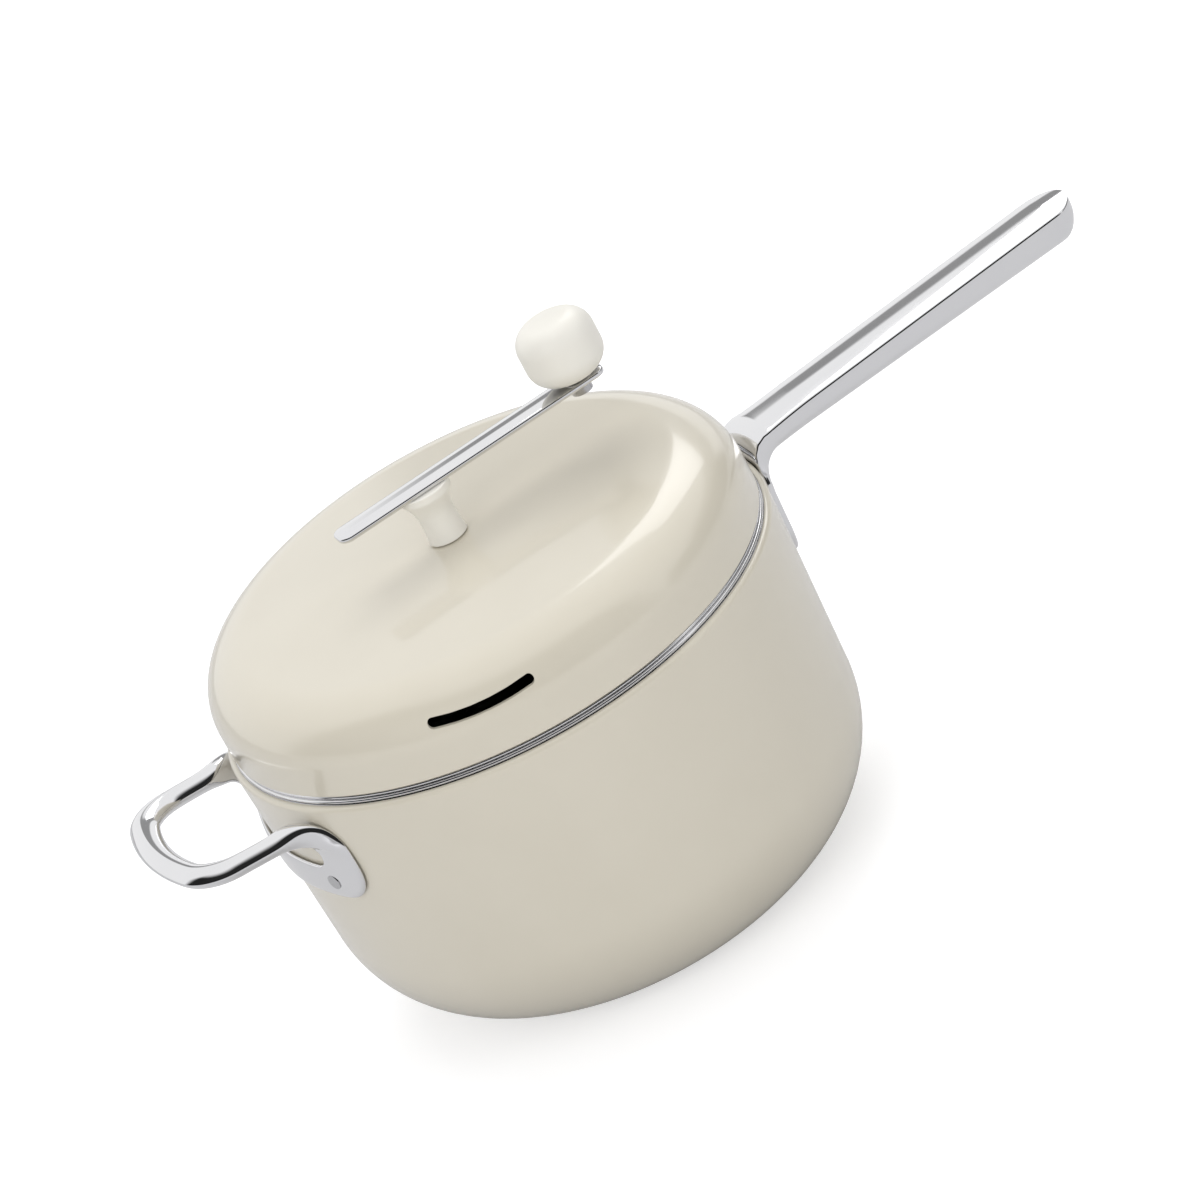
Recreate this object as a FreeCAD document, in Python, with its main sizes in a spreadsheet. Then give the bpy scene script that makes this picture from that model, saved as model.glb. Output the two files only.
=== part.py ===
"""Stovetop popcorn popper: coated pot, lift-off lid, hand crank, turning knob and floor stirrer.

Millimetres, +Z up. The origin is the middle of the flat base, the long handle points along +X,
and the lid is closed with its crank arm in line with the long handle.
"""
import FreeCAD, Part
import math
import os
import Sketcher

document = FreeCAD.newDocument("popcorn_popper")
sheet = document.addObject("Spreadsheet::Sheet", "Sizes")


class Size:
    """A number together with the formula that the document keeps for it."""

    def __init__(self, number, formula):
        self.number = float(number)
        self.formula = formula

    def joined(self, other, sign, number):
        return Size(number, f"({self.formula} {sign} {as_size(other).formula})")

    def __add__(self, other):
        return self.joined(other, "+", self.number + as_size(other).number)

    def __sub__(self, other):
        return self.joined(other, "-", self.number - as_size(other).number)

    def __mul__(self, other):
        return self.joined(other, "*", self.number * as_size(other).number)

    def __truediv__(self, other):
        return self.joined(other, "/", self.number / as_size(other).number)

    def __neg__(self):
        return Size(-self.number, f"(0 - {self.formula})")


def as_size(value):
    """Wraps a plain number, so that it can stand in a formula."""
    if isinstance(value, Size):
        return value
    return Size(value, repr(value))


def sine(angle):
    return Size(math.sin(math.radians(angle.number)), f"sin({angle.formula})")


def cosine(angle):
    return Size(math.cos(math.radians(angle.number)), f"cos({angle.formula})")


size_names = []


def size(name, number):
    """Writes one driving dimension into the sheet and returns it by its alias."""
    size_names.append(name)
    row = len(size_names)
    sheet.set(f"A{row}", name)
    sheet.set(f"B{row}", str(number))
    sheet.setAlias(f"B{row}", name)
    return Size(number, f"Sizes.{name}")


# ---------------------------------------------------------------- driving dimensions
# pot
pot_height = size("pot_height", 151.0)
body_top_radius = size("body_top_radius", 120.9)
body_taper = size("body_taper", 3.2)
corner_radius = size("corner_radius", 53.0)
jacket_wall = size("jacket_wall", 2.6)
liner_wall = size("liner_wall", 1.0)
bond_gap = size("bond_gap", 0.1)
base_inset = size("base_inset", 4.7)
shoulder_round = size("shoulder_round", 2.2)
# rim
neck_step = size("neck_step", 5.9)
neck_wall = size("neck_wall", 1.4)
neck_height = size("neck_height", 9.5)
lip_roll = size("lip_roll", 0.8)
flange_overhang = size("flange_overhang", 3.2)
bead_radius = size("bead_radius", 0.85)
tongue_depth = size("tongue_depth", 9.0)
tongue_wall = size("tongue_wall", 1.2)
# sifter ring
wave_count = size("wave_count", 36)
wave_depth = size("wave_depth", 10.8)
wave_sheet = size("wave_sheet", 0.8)
wave_fold = size("wave_fold", 2.6)
wave_height = size("wave_height", 14.0)
wave_below_lip = size("wave_below_lip", 0.9)
spring_gap = size("spring_gap", 0.2)
# handles
plate_wall = size("plate_wall", 3.0)
plate_below_lip = size("plate_below_lip", 16.2)
plate_height = size("plate_height", 42.8)
rivet_radius = size("rivet_radius", 3.3)
rivet_head_radius = size("rivet_head_radius", 6.0)
rivet_head_height = size("rivet_head_height", 1.8)
rivet_gap = size("rivet_gap", 0.05)
rivet_seat_gap = size("rivet_seat_gap", 0.5)
loop_overhang = size("loop_overhang", 50.0)
loop_half_width = size("loop_half_width", 47.6)
loop_arm_width = size("loop_arm_width", 11.3)
loop_grip_width = size("loop_grip_width", 12.6)
loop_thickness = size("loop_thickness", 9.4)
loop_outer_round = size("loop_outer_round", 21.4)
loop_inner_round = size("loop_inner_round", 17.0)
loop_bow_angle = size("loop_bow_angle", 14.5)
loop_edge_round = size("loop_edge_round", 3.4)
loop_root_depth = size("loop_root_depth", 14.9)
loop_below_plate_top = size("loop_below_plate_top", 6.7)
loop_tilt_angle = size("loop_tilt_angle", 5.0)
bracket_half_width = size("bracket_half_width", 57.7)
bracket_arm_overlap = size("bracket_arm_overlap", 5.6)
bracket_bridge_height = size("bracket_bridge_height", 15.5)
bracket_top_round = size("bracket_top_round", 6.0)
bracket_low_round = size("bracket_low_round", 15.0)
bracket_inner_round = size("bracket_inner_round", 7.0)
helper_rivet_angle = size("helper_rivet_angle", 19.4)
rivet_rise = size("rivet_rise", 9.5)
grip_overhang = size("grip_overhang", 173.1)
grip_width = size("grip_width", 28.0)
grip_below_lip = size("grip_below_lip", 4.1)
grip_root_thickness = size("grip_root_thickness", 10.6)
grip_tip_rise = size("grip_tip_rise", 7.9)
grip_low_angle = size("grip_low_angle", 1.5)
grip_nose_round = size("grip_nose_round", 12.5)
grip_nose_edge = size("grip_nose_edge", 1.2)
grip_bend_inner = size("grip_bend_inner", 9.0)
grip_bend_outer = size("grip_bend_outer", 9.6)
grip_low_round = size("grip_low_round", 4.0)
grip_plan_round = size("grip_plan_round", 13.0)
shield_half_width = size("shield_half_width", 20.0)
shield_low_round = size("shield_low_round", 14.0)
shield_top_round = size("shield_top_round", 6.0)
grip_rivet_angle = size("grip_rivet_angle", 5.6)
grip_rivet_drop = size("grip_rivet_drop", 13.8)
# lid
lid_inset = size("lid_inset", 0.2)
lid_wall = size("lid_wall", 1.6)
lid_seat_gap = size("lid_seat_gap", 0.3)
skirt_height = size("skirt_height", 12.0)
shoulder_arc = size("shoulder_arc", 21.5)
shoulder_angle = size("shoulder_angle", 53.0)
haunch_arc = size("haunch_arc", 29.0)
haunch_angle = size("haunch_angle", 34.0)
vent_rise = size("vent_rise", 21.4)
vent_width = size("vent_width", 4.3)
vent_angle = size("vent_angle", 19.6)
vent_dip_ratio = size("vent_dip_ratio", 0.06)
vent_bearing_angle = size("vent_bearing_angle", 248.4)
# crank bearing
shaft_radius = size("shaft_radius", 3.0)
running_gap = size("running_gap", 0.06)
fixed_gap = size("fixed_gap", 0.05)
stack_gap = size("stack_gap", 0.3)
bush_radius = size("bush_radius", 5.2)
bush_flange_radius = size("bush_flange_radius", 6.4)
bush_flange_height = size("bush_flange_height", 1.2)
bush_length = size("bush_length", 9.6)
nut_flats = size("nut_flats", 14.0)
nut_height = size("nut_height", 4.6)
washer_radius = size("washer_radius", 9.5)
washer_height = size("washer_height", 1.0)
thrust_radius = size("thrust_radius", 6.2)
thrust_height = size("thrust_height", 0.8)
clip_radius = size("clip_radius", 5.2)
clip_height = size("clip_height", 1.0)
clip_mouth = size("clip_mouth", 3.2)
groove_depth = size("groove_depth", 0.6)
# hub and arm
hub_waist_radius = size("hub_waist_radius", 7.7)
hub_head_radius = size("hub_head_radius", 11.0)
hub_height = size("hub_height", 23.6)
hub_seam = size("hub_seam", 0.4)
hub_wall = size("hub_wall", 1.6)
arm_thickness = size("arm_thickness", 3.0)
arm_width = size("arm_width", 14.0)
arm_tail = size("arm_tail", 40.0)
arm_nose = size("arm_nose", 11.0)
arm_end_round = size("arm_end_round", 5.0)
arm_edge_round = size("arm_edge_round", 0.7)
arm_socket_depth = size("arm_socket_depth", 2.0)
crank_radius = size("crank_radius", 76.0)
# knob
collar_radius = size("collar_radius", 6.6)
collar_height = size("collar_height", 0.8)
knob_radius = size("knob_radius", 16.6)
knob_height = size("knob_height", 27.0)
knob_round = size("knob_round", 9.6)
bolt_radius = size("bolt_radius", 2.5)
bolt_head_radius = size("bolt_head_radius", 4.6)
bolt_head_height = size("bolt_head_height", 2.8)
bolt_washer_radius = size("bolt_washer_radius", 5.4)
bolt_washer_height = size("bolt_washer_height", 0.6)
insert_radius = size("insert_radius", 4.5)
insert_length = size("insert_length", 15.0)
bolt_engagement = size("bolt_engagement", 12.0)
# stirrer
shaft_drop = size("shaft_drop", 20.0)
socket_radius = size("socket_radius", 5.0)
socket_length = size("socket_length", 24.0)
socket_pin_radius = size("socket_pin_radius", 1.2)
socket_pin_inset = size("socket_pin_inset", 6.0)
rod_radius = size("rod_radius", 2.5)
sweep_hub_radius = size("sweep_hub_radius", 6.0)
sweep_hub_height = size("sweep_hub_height", 11.0)
sweep_hub_lift = size("sweep_hub_lift", 1.0)
tip_length = size("tip_length", 4.0)
wire_radius = size("wire_radius", 1.75)
wire_clearance = size("wire_clearance", 1.0)
wire_upturn_angle = size("wire_upturn_angle", 32.0)

document.recompute()

# ---------------------------------------------------------------- derived places
zero = Size(0, "0")
quarter_turn = as_size(90)
half_turn = as_size(180)
body_low_radius = body_top_radius - body_taper
flat_radius = body_low_radius - corner_radius
base_radius = flat_radius - base_inset
neck_radius = body_top_radius - neck_step
flange_radius = neck_radius + flange_overhang
lid_radius = flange_radius - lid_inset
flange_top = pot_height - neck_height
flange_bottom = flange_top - bead_radius * 4
jacket_top = flange_bottom
shoulder_height = jacket_top - shoulder_round
liner_outer_inset = jacket_wall + bond_gap
liner_inner_inset = liner_outer_inset + liner_wall
floor_top = liner_inner_inset
neck_inner_radius = neck_radius - neck_wall
lid_bottom = flange_top + lid_seat_gap
skirt_top = lid_bottom + skirt_height
total_angle = shoulder_angle + haunch_angle
plate_top = pot_height - plate_below_lip
plate_bottom = plate_top - plate_height
rivet_low = plate_bottom + rivet_rise
grip_rivet_high = plate_top - grip_rivet_drop
loop_reach = body_top_radius + loop_overhang
loop_root_radius = body_top_radius - loop_root_depth
loop_root_height = plate_top - loop_below_plate_top
grip_length = body_top_radius + grip_overhang
grip_root_high = pot_height - grip_below_lip
grip_root_low = grip_root_high - grip_root_thickness
grip_tip_high = grip_root_high + grip_tip_rise


def wall_radius(height):
    """Outside radius of the tapered wall at a height above the base corner."""
    share = (height - corner_radius) / (shoulder_height - corner_radius)
    return body_low_radius + (body_top_radius - body_low_radius) * share


def dome_corners(inset):
    """Ends of the three tangent arcs of the lid's dome, inset inwards by a wall."""
    first = shoulder_arc - inset
    second = haunch_arc - inset
    start_radius = lid_radius - inset
    mid_radius = start_radius - first * (as_size(1) - cosine(shoulder_angle))
    mid_height = skirt_top + first * sine(shoulder_angle)
    end_radius = mid_radius - second * (cosine(shoulder_angle) - cosine(total_angle))
    end_height = mid_height + second * (sine(total_angle) - sine(shoulder_angle))
    crown = end_radius / cosine(total_angle)
    apex = end_height + crown * (as_size(1) - sine(total_angle))
    return first, second, crown, start_radius, mid_radius, mid_height, end_radius, end_height, apex


lid_apex = dome_corners(zero)[-1]
lid_underside = dome_corners(lid_wall)[-1]
bush_top = lid_apex + bush_flange_height
bush_bottom = bush_top - bush_length
washer_bottom = lid_underside - bond_gap - washer_height
nut_bottom = washer_bottom - nut_height
thrust_bottom = bush_top + stack_gap
thrust_top = thrust_bottom + thrust_height
hub_bottom = lid_apex + hub_seam
hub_top = hub_bottom + hub_height
arm_bottom = hub_top
arm_top = arm_bottom + arm_thickness
collar_top = arm_top + collar_height
knob_bottom = collar_top + stack_gap
knob_top = knob_bottom + knob_height
bolt_washer_bottom = arm_bottom - stack_gap - bolt_washer_height
bolt_head_bottom = bolt_washer_bottom - bolt_head_height
clip_top = bush_bottom - stack_gap
clip_bottom = clip_top - clip_height
shaft_bottom = clip_bottom - shaft_drop
rod_top = shaft_bottom - stack_gap
socket_bottom = shaft_bottom - socket_length / 2
wire_level = floor_top + wire_clearance + wire_radius
sweep_hub_bottom = floor_top + sweep_hub_lift
tip_bottom = floor_top + stack_gap


# ---------------------------------------------------------------- tools for the document
def bind(item, **formulas):
    """Binds properties of an object to formulas over the sheet."""
    for name, value in formulas.items():
        item.setExpression(name, as_size(value).formula)
    return item


def place(item, x=zero, y=zero, z=zero, yaw=zero, pitch=zero, roll=zero):
    """Binds an object's Placement: a move, and turns in degrees about Z, Y and X."""
    x, y, z, yaw, pitch, roll = [as_size(value).formula for value in (x, y, z, yaw, pitch, roll)]
    turn = f"rotation({yaw}; {pitch}; {roll})"
    item.setExpression("Placement", f"placement(vector({x}; {y}; {z}); {turn})")
    return item


def origin_plane(body, role):
    return [feature for feature in body.Origin.OriginFeatures if feature.Role == role][0]


def arc_between(start, end, radius, side):
    """Arc on the way from start to end; side 1 bulges to the left of the way, -1 to the right."""
    if side > 0:
        start, end = end, start
    chord = end - start
    leftward = FreeCAD.Vector(-chord.y, chord.x, 0).normalize()
    depth = math.sqrt(max(radius ** 2 - (chord.Length / 2) ** 2, 0.0))
    centre = (start + end) / 2 + leftward * depth
    first = math.atan2(start.y - centre.y, start.x - centre.x)
    last = math.atan2(end.y - centre.y, end.x - centre.x)
    if last < first:
        last += 2 * math.pi
    return Part.ArcOfCircle(Part.Circle(centre, FreeCAD.Vector(0, 0, 1), radius), first, last)


def draw(body, name, role, steps):
    """Closed outline on an origin plane. A step is (x, y) or (x, y, arc radius, side to bulge)."""
    sketch = body.newObject("Sketcher::SketchObject", name)
    sketch.AttachmentSupport = [(origin_plane(body, role), "")]
    sketch.MapMode = "FlatFace"
    spots = [FreeCAD.Vector(as_size(step[0]).number, as_size(step[1]).number, 0) for step in steps]
    ends = []
    for index, step in enumerate(steps):
        start, end = spots[index - 1], spots[index]
        if len(step) == 2:
            sketch.addGeometry(Part.LineSegment(start, end), False)
            ends.append((1, 2))
        else:
            sketch.addGeometry(arc_between(start, end, as_size(step[2]).number, step[3]), False)
            ends.append((1, 2) if step[3] < 0 else (2, 1))
    for index, step in enumerate(steps):
        following = (index + 1) % len(steps)
        sketch.addConstraint(Sketcher.Constraint("Coincident", index, ends[index][1],
                                                 following, ends[following][0]))
        pin_point(sketch, index, ends[index][1], step[0], step[1])
        if len(step) == 4:
            number = sketch.addConstraint(Sketcher.Constraint("Radius", index, as_size(step[2]).number))
            sketch.setExpression(f"Constraints[{number}]", as_size(step[2]).formula)
    return sketch


def pin_point(sketch, geometry, end, x, y):
    """Holds one point of a sketch at x and y, bound to their formulas."""
    for kind, axis, value in (("DistanceX", -2, as_size(x)), ("DistanceY", -1, as_size(y))):
        if value.formula == "0":
            sketch.addConstraint(Sketcher.Constraint("PointOnObject", geometry, end, axis))
            continue
        number = sketch.addConstraint(Sketcher.Constraint(kind, -1, 1, geometry, end, value.number))
        sketch.setExpression(f"Constraints[{number}]", value.formula)


def new_body(name):
    return document.addObject("PartDesign::Body", name)


def turned(name, steps, axis="V_Axis"):
    """A turned piece: an outline on the XZ plane, revolved all the way round."""
    body = new_body(name)
    sketch = draw(body, name + "_profile", "XZ_Plane", steps)
    revolution = body.newObject("PartDesign::Revolution", name + "_turning")
    revolution.Profile = sketch
    revolution.ReferenceAxis = (sketch, [axis])
    revolution.Angle = 360
    return body


def padded(name, role, steps, length):
    """A piece of even thickness, half of it on each side of an origin plane."""
    body = new_body(name)
    sketch = draw(body, name + "_outline", role, steps)
    pad = body.newObject("PartDesign::Pad", name + "_pad")
    pad.Profile = sketch
    pad.Midplane = True
    bind(pad, Length=length)
    document.recompute()
    return body


def rounded(body, radius, wanted):
    """Rounds the edges of a body's last feature that the test picks."""
    base = body.Tip
    names = [f"Edge{index + 1}" for index, edge in enumerate(base.Shape.Edges) if wanted(edge)]
    fillet = body.newObject("PartDesign::Fillet", body.Name + "_round")
    fillet.Base = (base, names)
    bind(fillet, Radius=radius)
    document.recompute()
    return body


def cylinder(name, radius, height, **spot):
    solid = document.addObject("Part::Cylinder", name)
    bind(solid, Radius=radius, Height=height)
    return place(solid, **spot)


def cut(name, base, tool):
    item = document.addObject("Part::Cut", name)
    item.Base = base
    item.Tool = tool
    return item


def common(name, base, tool):
    item = document.addObject("Part::Common", name)
    item.Base = base
    item.Tool = tool
    return item


def fused(name, pieces):
    item = document.addObject("Part::MultiFuse", name)
    item.Shapes = pieces
    return item


def grouped(name, pieces):
    item = document.addObject("Part::Compound", name)
    item.Links = pieces
    return item


def tube(name, outer, inner, bottom, height, **spot):
    """A plain ring or washer."""
    rim = cylinder(name + "_blank", outer, height, z=bottom, **spot)
    bore = cylinder(name + "_bore", inner, height, z=bottom, **spot)
    return cut(name, rim, bore)


def wall_cone(name, inset, bottom, top):
    """A solid cone that follows the tapered wall, larger than it by the inset."""
    solid = document.addObject("Part::Cone", name)
    bind(solid, Radius1=wall_radius(bottom) + inset, Radius2=wall_radius(top) + inset,
         Height=top - bottom)
    return place(solid, z=bottom)


nodes = {}


def keep(name, item):
    """Names a finished sub-part."""
    item.Label = name
    nodes[name] = item
    return item


def radial_rivet(name, angle, height):
    """One rivet: shank out through wall and plate, domed head on the inside of the pot."""
    wall = wall_radius(height)
    inside = wall - liner_inner_inset
    outside = wall + bond_gap + plate_wall
    seat = inside - rivet_seat_gap
    steps = [(seat - rivet_head_height, zero),
             (outside, zero),
             (outside, rivet_radius),
             (seat, rivet_radius),
             (seat, rivet_head_radius),
             (seat - rivet_head_height, rivet_head_radius / 2, rivet_head_radius, 1)]
    return place(turned(name, steps, "H_Axis"), z=height, yaw=angle)


def radial_drill(name, angle, height):
    """The clear hole that a rivet passes through."""
    return cylinder(name, rivet_radius + rivet_gap, body_top_radius * 2, z=height, yaw=angle,
                    pitch=quarter_turn)


# ---------------------------------------------------------------- rivets of both handles
helper_spots = [(half_turn + helper_rivet_angle, rivet_low),
                (half_turn - helper_rivet_angle, rivet_low)]
grip_spots = [(grip_rivet_angle, grip_rivet_high), (-grip_rivet_angle, grip_rivet_high),
              (zero, rivet_low)]
all_spots = helper_spots + grip_spots


def drills(name, spots):
    return fused(name, [radial_drill(f"{name}_{index}", *spot) for index, spot in enumerate(spots)])


def rivets(name, spots):
    return grouped(name, [radial_rivet(f"{name}_{index}", *spot) for index, spot in enumerate(spots)])


keep("helper_rivets", rivets("helper_rivet", helper_spots))
keep("long_handle_rivets", rivets("grip_rivet", grip_spots))


# ---------------------------------------------------------------- pot
def coated_body():
    """Outer shell: tapered wall, big rounded corner, open in the middle for the base plate."""
    window = base_radius + bond_gap
    blank = turned("jacket", [
        (window, zero),
        (flat_radius, zero),
        (body_low_radius, corner_radius, corner_radius, -1),
        (body_top_radius, shoulder_height),
        (body_top_radius - shoulder_round, jacket_top, shoulder_round, -1),
        (wall_radius(jacket_top) - jacket_wall, jacket_top),
        (body_low_radius - jacket_wall, corner_radius),
        (flat_radius, jacket_wall, corner_radius - jacket_wall, 1),
        (window, jacket_wall)])
    return cut("jacket_drilled", blank, drills("jacket_drill", all_spots))


def steel_liner():
    """Inner pot of thin steel, bonded inside the outer shell."""
    top = jacket_top - bond_gap
    outer, inner = liner_outer_inset, liner_inner_inset
    blank = turned("liner", [
        (zero, outer),
        (flat_radius, outer),
        (body_low_radius - outer, corner_radius, corner_radius - outer, -1),
        (wall_radius(top) - outer, top),
        (wall_radius(top) - inner, top),
        (body_low_radius - inner, corner_radius),
        (flat_radius, inner, corner_radius - inner, 1),
        (zero, inner)])
    return cut("liner_drilled", blank, drills("liner_drill", all_spots))


def base_plate():
    """Heat-spreading disc under the floor, the face that the pot stands on."""
    chamfer = bond_gap * 6
    return turned("base", [
        (zero, zero),
        (base_radius - chamfer, zero),
        (base_radius, chamfer),
        (base_radius, jacket_wall),
        (zero, jacket_wall)])


def rim_band():
    """Steel neck: rolled lip, upright band, two stacked beads and a tongue inside the liner."""
    tongue_bottom = flange_bottom - tongue_depth
    tongue_low = wall_radius(tongue_bottom) - liner_inner_inset - bond_gap
    tongue_high = wall_radius(flange_bottom) - liner_inner_inset - bond_gap
    lower_bead = flange_radius - bead_radius
    upper_bead = lower_bead - bead_radius
    bead_join = flange_bottom + bead_radius * 2
    return turned("rim", [
        (tongue_low - tongue_wall, tongue_bottom),
        (tongue_low, tongue_bottom),
        (tongue_high, flange_bottom),
        (lower_bead, flange_bottom),
        (flange_radius, flange_bottom + bead_radius, bead_radius, -1),
        (lower_bead, bead_join, bead_radius, -1),
        (upper_bead, bead_join),
        (lower_bead, bead_join + bead_radius, bead_radius, -1),
        (upper_bead, flange_top, bead_radius, -1),
        (neck_radius + bead_radius, flange_top),
        (neck_radius, flange_top + bead_radius, bead_radius, 1),
        (neck_radius, pot_height - lip_roll * 2),
        (neck_radius + lip_roll, pot_height - lip_roll, lip_roll, -1),
        (neck_radius, pot_height, lip_roll, -1),
        (neck_inner_radius + lip_roll, pot_height),
        (neck_inner_radius, pot_height - lip_roll, lip_roll, -1),
        (neck_inner_radius, bead_join),
        (tongue_high - tongue_wall, flange_bottom - tongue_wall)])


def sifter_ring():
    """Corrugated ring of spring steel, held by its outer crests just inside the lip."""
    lobes = int(wave_count.number) * 2
    fold = wave_fold.number
    crest = (neck_inner_radius - spring_gap - wave_sheet / 2).number
    trough = crest - (wave_depth - wave_sheet).number

    def ray(index):
        angle = 2 * math.pi * index / lobes
        return FreeCAD.Vector(math.cos(angle), math.sin(angle), 0)

    def outward(index):
        return 1 if index % 2 == 0 else -1

    def centre(index):
        return ray(index) * (crest - fold if outward(index) > 0 else trough + fold)

    def on_lobe(index, direction, offset):
        return centre(index) + direction * (outward(index) * fold + offset)

    def flank_normal(index):
        way = centre(index + 1) - centre(index)
        lean = 2 * fold / way.Length
        way.normalize()
        side = FreeCAD.Vector(way.y, -way.x, 0)
        return side * math.sqrt(1 - lean ** 2) + way * lean * outward(index)

    def loop(offset):
        edges = []
        for index in range(lobes):
            entry = on_lobe(index, flank_normal(index - 1), offset)
            leave = on_lobe(index, flank_normal(index), offset)
            arrive = on_lobe(index + 1, flank_normal(index), offset)
            edges.append(Part.Arc(entry, on_lobe(index, ray(index), offset), leave).toShape())
            edges.append(Part.LineSegment(leave, arrive).toShape())
        return Part.Wire(edges)

    half_sheet = wave_sheet.number / 2
    section = Part.Face(loop(half_sheet)).cut(Part.Face(loop(-half_sheet))).Faces[0]
    ring = document.addObject("Part::Feature", "wave_ring")
    ring.Shape = section.extrude(FreeCAD.Vector(0, 0, wave_height.number))
    return place(ring, z=pot_height - wave_below_lip - wave_height)


keep("coated_body", coated_body())
keep("steel_liner", steel_liner())
keep("base_plate", base_plate())
keep("rim_band", rim_band())
keep("sifter_ring", sifter_ring())


# ---------------------------------------------------------------- handles
def plate_shell(name):
    """The curved layer of steel that both handle plates are cut from."""
    outer = wall_cone(name + "_outer", bond_gap + plate_wall, plate_bottom, plate_top)
    inner = wall_cone(name + "_inner", bond_gap, plate_bottom, plate_top)
    return cut(name, outer, inner)


def helper_handle():
    """Cast loop for the second hand: two arms and a grip, bent down into a U-shaped bracket."""
    reach = loop_reach - loop_root_radius
    wide = loop_half_width
    narrow = loop_half_width - loop_arm_width
    mouth = reach - loop_grip_width

    def bowed_end(reach, half_width, corner):
        """Bow radius of the loop's end, and where its corner arc meets the arm and the bow."""
        bow = corner + (half_width - corner) / sine(loop_bow_angle)
        arm_end = bow - reach - (bow - corner) * cosine(loop_bow_angle)
        return bow, arm_end, bow - reach - bow * cosine(loop_bow_angle), bow * sine(loop_bow_angle)

    bow, arm_end, bow_x, bow_y = bowed_end(reach, wide, loop_outer_round)
    inner_bow, inner_arm_end, inner_bow_x, inner_bow_y = bowed_end(mouth, narrow, loop_inner_round)
    loop = padded("loop", "XY_Plane", [
        (zero, wide),
        (arm_end, wide),
        (bow_x, bow_y, loop_outer_round, -1),
        (bow_x, -bow_y, bow, -1),
        (arm_end, -wide, loop_outer_round, -1),
        (zero, -wide),
        (zero, -narrow),
        (inner_arm_end, -narrow),
        (inner_bow_x, -inner_bow_y, loop_inner_round, 1),
        (inner_bow_x, inner_bow_y, inner_bow, 1),
        (inner_arm_end, narrow, loop_inner_round, 1),
        (zero, narrow)], loop_thickness)
    rounded(loop, loop_edge_round, lambda edge: abs(edge.CenterOfMass.z) > 1 and edge.BoundBox.XMin < -1)
    place(loop, x=-loop_root_radius, z=loop_root_height, pitch=loop_tilt_angle)
    trimmed = cut("loop_trimmed", loop, wall_cone("loop_seat", bond_gap, corner_radius, jacket_top))
    leg = loop_half_width - bracket_arm_overlap
    sill = plate_bottom + bracket_bridge_height
    outline = padded("bracket_outline", "YZ_Plane", [
        (bracket_top_round - bracket_half_width, plate_top),
        (-bracket_half_width, plate_top - bracket_top_round, bracket_top_round, -1),
        (-bracket_half_width, plate_bottom + bracket_low_round),
        (bracket_low_round - bracket_half_width, plate_bottom, bracket_low_round, -1),
        (bracket_half_width - bracket_low_round, plate_bottom),
        (bracket_half_width, plate_bottom + bracket_low_round, bracket_low_round, -1),
        (bracket_half_width, plate_top - bracket_top_round),
        (bracket_half_width - bracket_top_round, plate_top, bracket_top_round, -1),
        (leg, plate_top),
        (leg, sill + bracket_inner_round),
        (leg - bracket_inner_round, sill, bracket_inner_round, 1),
        (bracket_inner_round - leg, sill),
        (-leg, sill + bracket_inner_round, bracket_inner_round, 1),
        (-leg, plate_top)], loop_root_radius)
    place(outline, x=-loop_root_radius)
    bracket = common("bracket", plate_shell("bracket_layer"), outline)
    whole = fused("helper_cast", [trimmed, bracket])
    return cut("helper_drilled", whole, drills("helper_drill", helper_spots))


def rounded_outline(left, right, half_width, left_round, right_round):
    """A bar seen from above, with its four corners rounded."""
    return [
        (left + left_round, -half_width, left_round, -1),
        (right - right_round, -half_width),
        (right, right_round - half_width, right_round, -1),
        (right, half_width - right_round),
        (right - right_round, half_width, right_round, -1),
        (left + left_round, half_width),
        (left, half_width - left_round, left_round, -1),
        (left, left_round - half_width)]


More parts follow.
